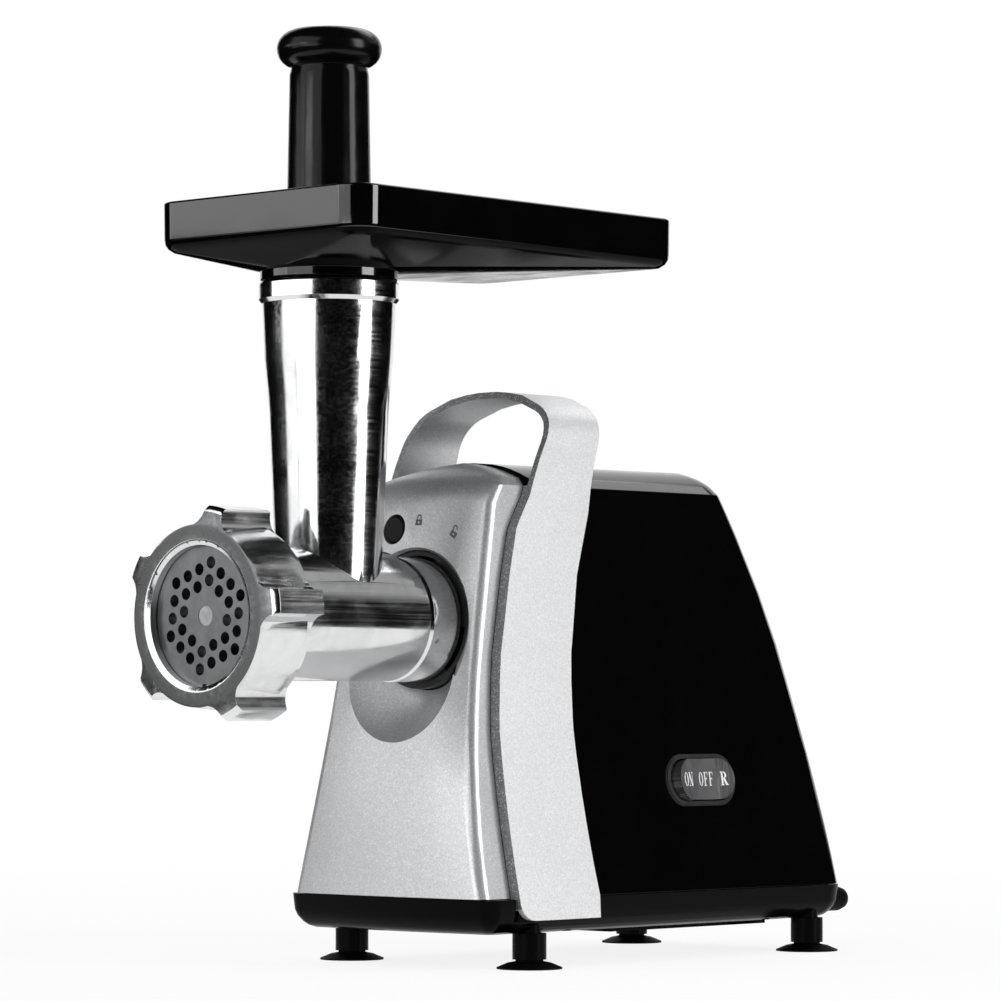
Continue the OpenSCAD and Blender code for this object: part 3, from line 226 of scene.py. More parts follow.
# %% Effects of tools and wear
def make_brushed():
    names = [("Across", 900.0), ("Along", 12.0)]
    group, given, out = new_group("brushed_along_y", names, ["Lines"])
    spot = add(group, "ShaderNodeTexCoord")
    scale = add(group, "ShaderNodeCombineXYZ")
    wire(group, given.outputs["Across"], scale.inputs[0])
    wire(group, given.outputs["Along"], scale.inputs[1])
    wire(group, given.outputs["Across"], scale.inputs[2])
    stretch = add(group, "ShaderNodeVectorMath", operation="MULTIPLY")
    wire(group, spot.outputs["Object"], stretch.inputs[0])
    wire(group, scale.outputs[0], stretch.inputs[1])
    noise = add(group, "ShaderNodeTexNoise", Scale=1.0, Detail=2.0, Roughness=0.7)
    wire(group, stretch.outputs[0], noise.inputs["Vector"])
    wire(group, noise.outputs["Fac"], out.inputs["Lines"])
    return group


def make_scuffs():
    group, given, out = new_group("scuffs", [("Size", 160.0), ("Amount", 0.5)], ["Mask"])
    spot = add(group, "ShaderNodeTexCoord")
    bend = add(group, "ShaderNodeTexNoise", Scale=26.0, Detail=1.0)
    wire(group, spot.outputs["Object"], bend.inputs["Vector"])
    moved = add(group, "ShaderNodeVectorMath", operation="MULTIPLY_ADD")
    wire(group, bend.outputs["Color"], moved.inputs[0])
    moved.inputs[1].default_value = (0.03, 0.03, 0.03)
    wire(group, spot.outputs["Object"], moved.inputs[2])
    cells = add(group, "ShaderNodeTexVoronoi", feature="DISTANCE_TO_EDGE")
    wire(group, moved.outputs[0], cells.inputs["Vector"])
    wire(group, given.outputs["Size"], cells.inputs["Scale"])
    line = ramp(group, cells.outputs["Distance"], 0.0, 0.012, 1.0, 0.0)
    patch = add(group, "ShaderNodeTexNoise", Scale=70.0, Detail=2.0)
    wire(group, spot.outputs["Object"], patch.inputs["Vector"])
    here = ramp(group, patch.outputs["Fac"], 0.52, 0.66)
    mask = calc(group, "MULTIPLY", calc(group, "MULTIPLY", line, here), given.outputs["Amount"])
    wire(group, mask, out.inputs["Mask"])
    return group


def make_worn_edges():
    group, given, out = new_group("worn_edges", [("Amount", 1.0)], ["Mask"])
    shape = add(group, "ShaderNodeNewGeometry")
    spot = add(group, "ShaderNodeTexCoord")
    noise = add(group, "ShaderNodeTexNoise", Scale=420.0, Detail=3.0)
    wire(group, spot.outputs["Object"], noise.inputs["Vector"])
    corner = ramp(group, shape.outputs["Pointiness"], 0.52, 0.60)
    broken = ramp(group, noise.outputs["Fac"], 0.42, 0.62)
    worn = calc(group, "MULTIPLY", calc(group, "MULTIPLY", corner, broken), given.outputs["Amount"])
    wire(group, worn, out.inputs["Mask"])
    return group


brushed = make_brushed()
scuffs = make_scuffs()
worn_edges = make_worn_edges()
print("all effects:", [group.name for group in bpy.data.node_groups])

# %% [markdown]
# A finish starts from a Principled shader. Numbers that are the same all over are set on
# its own sockets; what varies is wired in. A Bump node turns a height into shading, with a
# distance in metres, so the texture keeps its real depth.

# %% A blank finish, and bump
def blank_finish(name, colour, roughness, metallic=0.0, ior=1.5):
    """A material with a Principled shader, and its tree and shader to wire up."""
    material = bpy.data.materials.new(name)
    material.use_nodes = True
    tree = material.node_tree
    shader = tree.nodes["Principled BSDF"]
    shader.inputs["Base Color"].default_value = (*colour, 1.0)
    shader.inputs["Roughness"].default_value = roughness
    shader.inputs["Metallic"].default_value = metallic
    shader.inputs["IOR"].default_value = ior
    return material, tree, shader


def bump(tree, shader, height, depth, strength=1.0):
    """Wires a height into the shader's normal; depth is in metres."""
    node = add(tree, "ShaderNodeBump", Strength=strength, Distance=depth)
    wire(tree, height, node.inputs["Height"])
    wire(tree, node.outputs["Normal"], shader.inputs["Normal"])


print("finishes start from blank_finish and bump")

# %% [markdown]
# **Gloss black mouldings** (housing, base, tray, pusher). Piano-black plastic is smooth,
# but never perfect: a faint ripple from the mould bends reflections, and hands leave
# patches that are a little less glossy. Both are far weaker than the eye expects.
# The mirror value sets how much light a face throws back: the tray is bright with
# reflections and the base stays nearly black. The tray's underside gets a copy of the
# tray's black with almost no mirror, a painted shade that keeps it nearly black.

# %% Gloss black plastic
def gloss_black(name, colour, roughness, dulled, scratch=0.25, mirror=0.5):
    material, tree, shader = blank_finish(name, colour, roughness, ior=1.46)
    shader.inputs["Specular IOR Level"].default_value = mirror
    hands = place(tree, handling, Size=38.0)
    marks = place(tree, scuffs, Size=150.0, Amount=scratch)
    soft = ramp(tree, hands.outputs["Mask"], 0.0, 1.0, roughness, dulled)
    rough = calc(tree, "ADD", soft, calc(tree, "MULTIPLY", marks.outputs["Mask"], 0.25))
    wire(tree, rough, shader.inputs["Roughness"])
    tint = blend_colours(tree, hands.outputs["Mask"], colour, [c * 1.25 for c in colour])
    wire(tree, tint, shader.inputs["Base Color"])
    ripple = place(tree, grain, Size=120.0)
    bump(tree, shader, ripple.outputs["Height"], depth=0.00003, strength=0.35)
    return material


# colour, roughness where clean and where handled, share of scratches
shell_black = gloss_black("shell_black", (0.0012, 0.0012, 0.0014), 0.08, 0.13, 0.12, mirror=0.3)
tray_black = gloss_black("tray_black", (0.0010, 0.0010, 0.0012), 0.05, 0.10, mirror=0.9)
# painted shade: the tray's underside is the tray's black with its mirror nearly cut off
shaded_under_black = gloss_black("shaded_under_black", (0.0010, 0.0010, 0.0012), 0.09, 0.16, mirror=0.045)
base_black = gloss_black("base_black", (0.0008, 0.0008, 0.0009), 0.18, 0.26, 0.08, mirror=0.05)
pusher_black = gloss_black("pusher_black", (0.0016, 0.0016, 0.0018), 0.14, 0.22, 0.2, mirror=0.25)
gloss_blacks = (shell_black, tray_black, shaded_under_black, base_black, pusher_black)
print("gloss blacks:", [m.name for m in gloss_blacks])

# %% [markdown]
# ** Silver lacquer** (front cover and handle). Fine aluminium flakes float in a clear
# lacquer. Each flake lies at its own angle, so cells of about 0.4 mm (and fainter ones of
# 0.7 mm) differ in brightness. A few cells get a painted glint: a colour near white that
# stands in for flakes catching the light, and a little less roughness. A thin clear coat
# lies over them. The strap is painted a little lighter than the cover, as painted light,
# and its front edge far darker, as painted shade.

# %% Silver flake lacquer
def silver_lacquer(name, dark, light, roughness, metal=0.72):
    material, tree, shader = blank_finish(name, light, roughness, metallic=metal)
    flakes = place(tree, flake, Size=2600.0)
    coarse = place(tree, flake, Size=1500.0)
    tone = calc(tree, "MULTIPLY_ADD", flakes.outputs["Tone"], 0.65)
    wire(tree, calc(tree, "MULTIPLY", coarse.outputs["Tone"], 0.35), tone.node.inputs[2])
    colour = blend_colours(tree, tone, dark, light)
    # painted glint: the marked flake cells are painted near white, and made a little smoother below
    painted_glint = calc(tree, "MULTIPLY", flakes.outputs["Painted Glint"], 0.55)
    wire(tree, blend_colours(tree, painted_glint, colour, (0.95, 0.96, 0.97)), shader.inputs["Base Color"])
    hands = place(tree, handling, Size=22.0)
    rough = ramp(tree, hands.outputs["Mask"], 0.0, 1.0, roughness, roughness + 0.05)
    sharper = calc(tree, "MULTIPLY", painted_glint, 0.05)
    wire(tree, calc(tree, "SUBTRACT", rough, sharper), shader.inputs["Roughness"])
    bump(tree, shader, flakes.outputs["Tone"], depth=0.00002, strength=0.35)
    shader.inputs["Coat Weight"].default_value = 0.12
    shader.inputs["Coat Roughness"].default_value = 0.25
    return material


# colour of the darkest and of the lightest flakes, roughness, metal
cover_silver = silver_lacquer("cover_silver", (0.50, 0.505, 0.515), (0.65, 0.66, 0.675), 0.34, 0.70)
# painted shade: a far darker copy of the lacquer for the strap's front edge, which faces away from
# the light
shaded_edge_silver = silver_lacquer("shaded_edge_silver", (0.16, 0.162, 0.166), (0.26, 0.263, 0.27), 0.5, 0.5)
# painted light: the strap has the cover's paint, made a little lighter for the light it catches
lit_strap_silver = silver_lacquer("lit_strap_silver", (0.60, 0.605, 0.615), (0.79, 0.80, 0.815), 0.45, 0.5)
print("silver lacquers:", [m.name for m in (cover_silver, shaded_edge_silver, lit_strap_silver)])

# %% [markdown]
# **Polished castings** (the head, its ring nut and the worm). They are sand-blasted, then
# buffed by hand. The buff leaves the metal bright, with a cloudy variation and fine lines
# where the wheel ran, and the edges stay a little rounder and brighter. The same recipe,
# with other numbers, makes the dull case, the steel, the bronze and the motor's core.

# %% Polished and dull alloy
def alloy(name, colour, roughness, cloudy, line_depth, along=12.0):
    material, tree, shader = blank_finish(name, colour, roughness, metallic=1.0)
    cloud = place(tree, handling, Size=55.0)
    lines = place(tree, brushed, Across=1100.0, Along=along)
    fine = place(tree, grain, Size=900.0)
    rough = ramp(tree, cloud.outputs["Mask"], 0.0, 1.0, roughness, cloudy)
    streak = ramp(tree, lines.outputs["Lines"], 0.35, 0.65, -0.03, 0.05)
    wire(tree, calc(tree, "ADD", rough, streak), shader.inputs["Roughness"])
    worn = place(tree, worn_edges, Amount=0.6)
    dull = blend_colours(tree, cloud.outputs["Mask"], colour, [c * 0.9 for c in colour])
    polished = blend_colours(tree, worn.outputs["Mask"], dull, (0.9, 0.905, 0.91))
    wire(tree, polished, shader.inputs["Base Color"])
    height = calc(tree, "MULTIPLY_ADD", lines.outputs["Lines"], 0.6)
    wire(tree, calc(tree, "MULTIPLY", fine.outputs["Height"], 0.4), height.node.inputs[2])
    bump(tree, shader, height, line_depth, strength=0.5)
    return material


# colour, roughness where bright and where cloudy, depth of the lines in metres
head_alloy = alloy("head_alloy", (0.82, 0.825, 0.83), 0.10, 0.17, 0.00002)
nut_alloy = alloy("nut_alloy", (0.82, 0.825, 0.83), 0.13, 0.22, 0.00002)
# painted shade: a dark copy of the nut's alloy for its front rim, which faces away from the light
shaded_rim_alloy = alloy("shaded_rim_alloy", (0.16, 0.162, 0.165), 0.26, 0.38, 0.00003)
worm_alloy = alloy("worm_alloy", (0.46, 0.464, 0.47), 0.28, 0.42, 0.00003)
case_alloy = alloy("case_alloy", (0.55, 0.56, 0.57), 0.42, 0.58, 0.00006)
steel = alloy("turned_steel", (0.55, 0.56, 0.58), 0.22, 0.36, 0.00002)
bronze = alloy("bronze", (0.62, 0.44, 0.20), 0.30, 0.45, 0.00003)
core_steel = alloy("core_steel", (0.26, 0.26, 0.28), 0.45, 0.6, 0.00005, along=900.0)
metals = (head_alloy, nut_alloy, shaded_rim_alloy, worm_alloy, case_alloy, steel, bronze, core_steel)
print("metals:", [m.name for m in metals])

# %% [markdown]
# **The perforated plate** is tool steel, ground on a wheel and darker than the casting.
# Grinding leaves fine straight lines across the whole face.

# %% Ground tool steel
def ground_steel(name, colour):
    material, tree, shader = blank_finish(name, colour, 0.35, metallic=1.0)
    spot = add(tree, "ShaderNodeTexCoord")
    stretch = add(tree, "ShaderNodeMapping")
    stretch.inputs["Rotation"].default_value = (0.0, math.radians(12.0), 0.0)
    stretch.inputs["Scale"].default_value = (2600.0, 60.0, 45.0)
    wire(tree, spot.outputs["Object"], stretch.inputs["Vector"])
    lines = add(tree, "ShaderNodeTexNoise", Scale=1.0, Detail=2.0)
    wire(tree, stretch.outputs["Vector"], lines.inputs["Vector"])
    wire(tree, ramp(tree, lines.outputs["Fac"], 0.3, 0.7, 0.28, 0.46), shader.inputs["Roughness"])
    cloud = place(tree, handling, Size=120.0)
    tone = calc(tree, "MULTIPLY", cloud.outputs["Mask"], lines.outputs["Fac"])
    ground = blend_colours(tree, tone, colour, [c * 1.5 for c in colour])
    wire(tree, ground, shader.inputs["Base Color"])
    bump(tree, shader, lines.outputs["Fac"], depth=0.00002, strength=0.5)
    return material


plate_steel = ground_steel("plate_steel", (0.20, 0.203, 0.208))
print("ground steel:", plate_steel.name)

# %% [markdown]
# **Matt plastics and rubber.** Technical mouldings come from a spark-eroded tool, which
# leaves an even fine grain. Rubber is duller, with a faint grey bloom and dust.

# %% Matt plastics, rubber, windings
def grained(name, colour, bloom, roughness, depth=0.00004, size=1700.0, mirror=0.5):
    material, tree, shader = blank_finish(name, colour, roughness, ior=1.47)
    shader.inputs["Specular IOR Level"].default_value = mirror
    fine = place(tree, grain, Size=size)
    hands = place(tree, handling, Size=70.0)
    handled = blend_colours(tree, hands.outputs["Mask"], colour, bloom)
    wire(tree, handled, shader.inputs["Base Color"])
    rough = ramp(tree, hands.outputs["Mask"], 0.0, 1.0, roughness, min(1.0, roughness + 0.12))
    wire(tree, rough, shader.inputs["Roughness"])
    bump(tree, shader, fine.outputs["Height"], depth, strength=0.6)
    return material


# colour as moulded and where handled, roughness, depth of the grain in metres
technical_black = grained("technical_black", (0.004, 0.004, 0.0043), (0.007, 0.007, 0.0075), 0.42)
button_black = grained("button_black", (0.003, 0.003, 0.0033), (0.005, 0.005, 0.0055), 0.34,
                       mirror=0.2)
bezel_black = grained("bezel_black", (0.010, 0.010, 0.011), (0.016, 0.016, 0.017), 0.34)
rocker_grey = grained("rocker_grey", (0.06, 0.06, 0.063), (0.075, 0.075, 0.078), 0.38)
cup_rubber = grained("cup_rubber", (0.0010, 0.0010, 0.0010), (0.0022, 0.0022, 0.0022), 0.5, 0.00006,
                     mirror=0.06)
white_nylon = grained("white_nylon", (0.72, 0.71, 0.67), (0.64, 0.62, 0.57), 0.4)
graphite = grained("graphite", (0.03, 0.03, 0.032), (0.05, 0.05, 0.052), 0.7, 0.00008)
copper = alloy("enamelled_copper", (0.62, 0.26, 0.10), 0.25, 0.35, 0.0002, along=900.0)
print(len(bpy.data.materials), "materials so far")

# %% [markdown]
# Each CAD node now gets its finish by its record's material slot, with a few exceptions
# by name. Only the material slot of the object changes, never the mesh.

# %% Dress the nodes
BY_SLOT = {
    "black_shell": shell_black, "silver_shell": cover_silver, "gloss_tray": tray_black,
    "black_plastic": technical_black, "rocker_plastic": rocker_grey, "cup_rubber": cup_rubber,
    "polished_alloy": head_alloy, "cast_alloy": case_alloy, "bare_steel": steel,
    "plate_steel": plate_steel, "core_steel": core_steel, "winding": copper, "bronze": bronze,
    "carbon": graphite, "white_plastic": white_nylon,
}
BY_NAME = {
    "handle_strap": lit_strap_silver, "pusher": pusher_black, "base": base_black,
    "foot_stems": base_black, "ring_nut": nut_alloy, "auger": worm_alloy,
    "release_button": button_black, "switch_bezel": bezel_black,
}
for part in frame["record"]["subparts"]:
    dressed = nodes[part["node"]]
    finish = BY_NAME.get(part["node"], BY_SLOT[part["material_slot"]])
    dressed.data.materials.clear()
    dressed.data.materials.append(finish)

# %% [markdown]
# ## Rounded copies
# Solids from CAD have knife-sharp edges and, where a form was lofted, flat facets.
# No real moulding or casting is like that: light always catches a small round edge.
# Each copy is cleaned first (doubled corners merged, flat regions joined), then its edges
# get a small bevel, and it is shaded smooth, except across real corners. At last a
# Weighted Normal modifier lets the large faces set the shading, so that a narrow bevel
# doesn't bend the reflections on the flat wall beside it.
# The copy stands for its CAD node and rides on the same body.

# %% A copy with soft edges
body_of_node = {}
for body_name, members in frame["record"]["behaviour"]["bodies"].items():
    for member in members:
        body_of_node[member] = body_name
MM = 0.001
MERGE_WITHIN = 0.00001
LARGE_FACES_FIRST = 100


def rounded_copy(node, name, edge_mm, segments=3, corner=30.0, flat=0.6, rides=True):
    """Copies a CAD node's mesh, merges it, bevels its edges and shades it smooth.

    Edges sharper than corner (degrees) are bevelled, and faces within flat degrees are joined.
    """
    bpy.ops.object.select_all(action="DESELECT")
    copy = bpy.data.objects.new(name, nodes[node].data.copy())
    bpy.context.scene.collection.objects.link(copy)
    copy.select_set(True)
    bpy.context.view_layer.objects.active = copy
    bpy.ops.object.mode_set(mode="EDIT")
    bpy.ops.mesh.select_all(action="SELECT")
    bpy.ops.mesh.remove_doubles(threshold=MERGE_WITHIN)
    if flat:
        bpy.ops.mesh.dissolve_limited(angle_limit=math.radians(flat))
    bpy.ops.object.mode_set(mode="OBJECT")
    if edge_mm:
        soften = copy.modifiers.new("soft_edges", "BEVEL")
        soften.width = edge_mm * MM
        soften.segments = segments
        soften.limit_method = "ANGLE"
        soften.angle_limit = math.radians(corner)
        soften.miter_outer = "MITER_ARC"
        bpy.ops.object.modifier_apply(modifier=soften.name)
    bpy.ops.object.shade_smooth_by_angle(angle=math.radians(corner))
    if edge_mm:
        even = copy.modifiers.new("even_shading", "WEIGHTED_NORMAL")
        even.mode = "FACE_AREA"
        even.weight = LARGE_FACES_FIRST
        even.keep_sharp = True
        bpy.ops.object.modifier_apply(modifier=even.name)
    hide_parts(node)
    if rides:
        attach(copy, body_of_node[node])
    print(name, len(copy.data.polygons), "faces")
    return copy


cover = rounded_copy("front_cover", "cover_moulding", 0.8)
rounded_copy("rear_housing", "shell_moulding", 0.6)
rounded_copy("base", "base_moulding", 0.6)
strap = rounded_copy("handle_strap", "strap_moulding", 0.7)
rounded_copy("grinder_head", "head_casting", 0.5)
collar = rounded_copy("ring_nut", "nut_casting", 1.2, 4)
tray = rounded_copy("feed_tray", "tray_moulding", 0.5)
rounded_copy("pusher", "pusher_moulding", 0.6)

# %% [markdown]
# ** Painted shade by facing.** One moulding may look different from side to side: the
# strap's front edge and the nut's front rim are turned away from the light, and the tray's
# underside is to stay nearly black, so each gets a darker copy of its finish, a painted
# shade. A mesh can hold several materials, and each face keeps the number of its own.
# Here a face is picked by its normal, the direction that it faces.

# %% Faces with a painted shade
Y_AXIS, Z_AXIS = 1, 2


def paint_shade_on_faces(copy, finish, axis, limit):
    """Paints shade on the faces whose normal lies under a limit along an axis, with a second,
    darker material.
    """
    copy.data.materials.append(finish)
    for face in copy.data.polygons:
        if face.normal[axis] < limit:
            face.material_index = 1
    count = sum(face.material_index for face in copy.data.polygons)
    print(copy.name, "has", count, "faces in", finish.name)


# painted shade on the strap's front edge, the nut's front rim and the tray's underside
paint_shade_on_faces(strap, shaded_edge_silver, Y_AXIS, -0.8)
paint_shade_on_faces(collar, shaded_rim_alloy, Y_AXIS, -0.9)
paint_shade_on_faces(tray, shaded_under_black, Z_AXIS, -0.3)

# %% [markdown]
# ## The spring behind the button
# A spring can't ride on one body: its rear end rests in the housing and its front end
# follows the button. So its copy rides on no body, and its place is baked into its mesh.

# %% The spring's copy
coil = rounded_copy("button_spring", "button_coil", 0, flat=0, rides=False)
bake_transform(coil)

# %% [markdown]
# ## The rocker
# A rocker switch is dished: both ends stand up, so that a fingertip finds the side to
# press. The CAD solid has a plain round crown, so its top corners are moved onto the
# dished profile, in the switch's own frame: x points down the housing, y to the rear and
# z straight out.

# %% A dished rocker
SWITCH_LEAN = math.radians(8.9)
SWITCH_FACE = Vector((0.045522, 0.0693, 0.07))
SWITCH_TURN = Matrix.Rotation(math.radians(90.0) - SWITCH_LEAN, 4, "Y")
switch_frame = Matrix.Translation(SWITCH_FACE) @ SWITCH_TURN
ROCKER_HALF = 0.0165
CROWN_TOP = 0.0036
CROWN_RADIUS = 0.060
ON_CROWN = 0.0002
DISH_LOW = 0.0030
DISH_RISE = 0.0017


def dish_height(y):
    """Height of the rocker's face over the housing at y along the switch, in metres."""
    return DISH_LOW + DISH_RISE * (y / ROCKER_HALF) ** 2


key = rounded_copy("rocker", "rocker_key", 0)
bpy.ops.object.mode_set(mode="EDIT")
bpy.ops.mesh.select_all(action="SELECT")
bpy.ops.mesh.subdivide(number_cuts=2)
bpy.ops.object.mode_set(mode="OBJECT")
for vert in key.data.vertices:
    spot = switch_frame.inverted() @ vert.co
    crown_height = CROWN_TOP - spot.y ** 2 / (2 * CROWN_RADIUS)
    if spot.z > crown_height - ON_CROWN:
        spot.z = dish_height(spot.y)
        vert.co = switch_frame @ spot
print("rocker ends stand", round(dish_height(ROCKER_HALF) * 1000, 2), "mm out of the housing")

# %% [markdown]
# **Printed signs.** Pad printing leaves a film a few hundredths of a millimetre thick.
# Each letter is drawn as a few flat shapes with thick and thin strokes and small feet, and
# every corner is then put on the face that it is printed on. Each shape lies three
# thousandths of a millimetre above the last, in turns of twelve, so that shapes that
# overlap don't share a plane.

# %% Shapes for signs
def quad(x0, z0, x1, z1, slant=0.0):
    """A bar from (x0, z0) to (x1, z1), its top moved sideways by slant."""
    return [(x0, z0), (x1, z0), (x1 + slant, z1), (x0 + slant, z1)]


def arch(cx, cz, outer, inner, start, end, steps=18):
    """Quads along a ring; outer and inner are (half width, half height), angles in degrees."""
    shapes = []
    for step in range(steps):
        a0 = math.radians(start + (end - start) * step / steps)
        a1 = math.radians(start + (end - start) * (step + 1) / steps)
        shapes.append([(cx + size[0] * math.cos(a), cz + size[1] * math.sin(a))
                       for size, a in ((inner, a0), (outer, a0), (outer, a1), (inner, a1))])
    return shapes


FOOT = 0.05
INK_LIFT = 0.00003
INK_STEP = 0.000003
INK_LAYERS = 12
SERIF_LETTERS = {
    "O": arch(0.5, 0.5, (0.48, 0.5), (0.25, 0.45), 0, 360, 36),
    "N": [quad(0.14, 0, 0.22, 1), quad(0.78, 0, 0.86, 1), quad(0.62, 0, 0.86, 1, -0.55),
          quad(0.0, 0, 0.36, FOOT), quad(0.0, 1 - FOOT, 0.3, 1), quad(0.64, 1 - FOOT, 1.0, 1)],
    "F": [quad(0.18, 0, 0.42, 1), quad(0.04, 0, 0.58, FOOT), quad(0.04, 1 - FOOT, 0.96, 1),
          quad(0.88, 0.76, 0.96, 1), quad(0.42, 0.49, 0.74, 0.54), quad(0.68, 0.40, 0.75, 0.63)],
    "R": [quad(0.16, 0, 0.38, 1), quad(0.04, 0, 0.5, FOOT), quad(0.04, 1 - FOOT, 0.42, 1),
          quad(0.72, 0, 0.98, 0.5, -0.34), quad(0.74, 0, 1.04, FOOT)]
         + arch(0.4, 0.745, (0.44, 0.255), (0.22, 0.205), -90, 90, 18),
}
PADLOCK = [quad(-0.5, 0, 0.5, 0.22), quad(-0.5, 0.44, 0.5, 0.66), quad(-0.5, 0.22, -0.13, 0.44),
           quad(0.13, 0.22, 0.5, 0.44)]
SHACKLE = (arch(0.0, 0.0, (0.36, 0.36), (0.19, 0.19), 0, 180, 14)
           + [quad(-0.36, -0.24, -0.19, 0), quad(0.19, -0.24, 0.36, 0)])


def printed(name, shapes, put, finish, body):
    """A printed film: put(x, z, lift) gives the place of a corner on the face."""
    verts, faces = [], []
    for number, shape in enumerate(shapes):
        lift = INK_LIFT + INK_STEP * (number % INK_LAYERS)
        faces.append(tuple(range(len(verts), len(verts) + len(shape))))
        verts += [put(x, z, lift) for x, z in shape]
    mesh = bpy.data.meshes.new(name)
    mesh.from_pydata(verts, [], faces)
    film = bpy.data.objects.new(name, mesh)
    bpy.context.scene.collection.objects.link(film)
    mesh.materials.append(finish)
    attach(film, body)


print("letters:", " ".join(SERIF_LETTERS))

# %% [markdown]
# The words run along the switch, from the front to the rear. Each row of the table is a
# word, where it starts, how wide a letter is and the gap after it, all in metres. The
# letters follow the dish, so they stay on the face over its whole length.

# %% ON, OFF and R on the rocker
white_ink = grained("white_ink", (0.72, 0.72, 0.73), (0.62, 0.62, 0.63), 0.5, 0.00001)
LETTER_TALL = 0.0055
WORDS = (
    ("ON", -0.0138, 0.0029, 0.0003),
    ("OFF", -0.0038, 0.0026, 0.0004),
    ("R", 0.0088, 0.0041, 0.0),
)
for word, start, wide, gap in WORDS:
    shapes = []
    for place_number, letter in enumerate(word):
        left = start + place_number * (wide + gap)
        for shape in SERIF_LETTERS[letter]:
            shapes.append([(left + x * wide, (z - 0.5) * LETTER_TALL) for x, z in shape])

    def on_rocker(x, z, lift):
        return switch_frame @ Vector((-z, x, dish_height(x) + lift))

    printed("sign_" + word, shapes, on_rocker, white_ink, "rocker")
print("signs on the rocker")

# %% [markdown]
# Two small padlocks on the front show which way the head is turned: shut above the
# socket, and open 30 degrees round. Their corners are dropped on the curved cover with a
# ray, shot from the front at the cover alone.

# %% Padlocks on the cover
grey_ink = grained("grey_ink", (0.07, 0.07, 0.072), (0.10, 0.10, 0.102), 0.5, 0.00001)
SOCKET_Z = 0.1325
LOCK_WIDE = 0.0034
LOCK_REACH = 0.0365
RAY_FROM_Y = -0.2
HINGE_X, HINGE_Z = 0.27, 0.24
SHACKLE_FOOT_Z = 0.66
HEAD_OPEN = 30.0
SHACKLE_OPEN = 38.0


def on_cover(turn, reach):
    """A function that puts a padlock's corner on the cover, reach metres out from the socket."""
    angle = math.radians(turn)

    def put(x, z, lift):
        out, side = reach + z, x
        across = math.sin(angle) * out + math.cos(angle) * side
        up = math.cos(angle) * out - math.sin(angle) * side
        start = Vector((across, RAY_FROM_Y, SOCKET_Z + up))
        _, spot, normal, _ = cover.ray_cast(start, Vector((0.0, 1.0, 0.0)))
        return spot + normal * lift

    return put


def padlock(shackle_turn):
    """Shapes of a padlock in metres; the shackle swings on its left leg by a turn in degrees."""
    a = math.radians(shackle_turn)
    shapes = [[(x * LOCK_WIDE, z * LOCK_WIDE) for x, z in shape] for shape in PADLOCK]
    for shape in SHACKLE:
        corners = []
        for x, z in shape:
            x, z = x + HINGE_X, z + HINGE_Z
            swung_x = x * math.cos(a) - z * math.sin(a) - HINGE_X
            swung_z = x * math.sin(a) + z * math.cos(a) + SHACKLE_FOOT_Z
            corners.append((swung_x * LOCK_WIDE, swung_z * LOCK_WIDE))
        shapes.append(corners)
    return shapes


printed("sign_locked", padlock(0.0), on_cover(0.0, LOCK_REACH), grey_ink, "housing")
printed("sign_open", padlock(SHACKLE_OPEN), on_cover(HEAD_OPEN, LOCK_REACH), grey_ink, "housing")
print("padlocks on the cover")

# %% [markdown]
# ## The studio
# Polished metal shows its surroundings more than itself, so most of a product studio is
# there to be reflected. The machine stands on a white floor that fades to pure white.
# The turn of a thing round the machine is measured in degrees to the right of the camera.

# %% A floor that fades to white
WHITE = (1.0, 1.0, 1.0, 1.0)
FLOOR_SIZE = 60.0
FADE_FROM, FADE_TO = 0.25, 1.2


def studio_point(turn, distance, height):
    """A point round the machine: turn is degrees to the right of the camera, seen from above."""
    angle = AZIMUTH + math.radians(turn)
    return Vector((math.sin(angle) * distance, -math.cos(angle) * distance, height))


def seen_directly(tree):
    """1 for rays from the camera, off mirrors and through glass; 0 for those that light things."""
    path = add(tree, "ShaderNodeLightPath")
    seen = calc(tree, "MAXIMUM", path.outputs["Is Camera Ray"], path.outputs["Is Glossy Ray"])
    return calc(tree, "MAXIMUM", seen, path.outputs["Is Transmission Ray"])


def blank_paint(name, colour, shown_white=0.0):
    """A plain matt paint; by a share it shows as pure white, and wholly so further out."""
    material, tree, shader = blank_finish(name, colour, 0.9)
    shader.inputs["Specular IOR Level"].default_value = 0.0
    if shown_white:
        glow = add(tree, "ShaderNodeEmission", Strength=1.0)
        glow.inputs["Color"].default_value = WHITE
        seen = seen_directly(tree)
        spot = add(tree, "ShaderNodeTexCoord")
        away = add(tree, "ShaderNodeVectorMath", operation="LENGTH")
        wire(tree, spot.outputs["Object"], away.inputs[0])
        far = ramp(tree, away.outputs["Value"], FADE_FROM, FADE_TO, shown_white, 1.0, smooth=True)
        mixer = add(tree, "ShaderNodeMixShader")
        wire(tree, calc(tree, "MULTIPLY", seen, far), mixer.inputs[0])
        wire(tree, shader.outputs[0], mixer.inputs[1])
        wire(tree, glow.outputs[0], mixer.inputs[2])
        wire(tree, mixer.outputs[0], tree.nodes["Material Output"].inputs["Surface"])
    return material


bpy.ops.object.select_all(action="DESELECT")
bpy.ops.mesh.primitive_plane_add(size=FLOOR_SIZE, location=(0.0, 0.0, 0.0))
floor = bpy.context.object
floor.name = "studio_floor"
floor.data.materials.append(blank_paint("floor_white", (0.85, 0.85, 0.85), 0.86))
print("floor", FLOOR_SIZE, "m square")

# %% [markdown]
# **Cards.** A card is a sheet that only reflections see: it is hidden from the camera,
# casts no shadow and sends no light to matt surfaces. Black cards all round, overhead and
# on the floor give polished metal its dark bands and keep black plastic black; a bright
# cylinder in an all-white room would look like plaster. Right under the machine lies a
# light grey disc, for the pale undersides.

# %% Black and grey cards
ON_FLOOR = 0.0006
TABLE_EDGE = 0.55
ROOM_TOP = 3.4


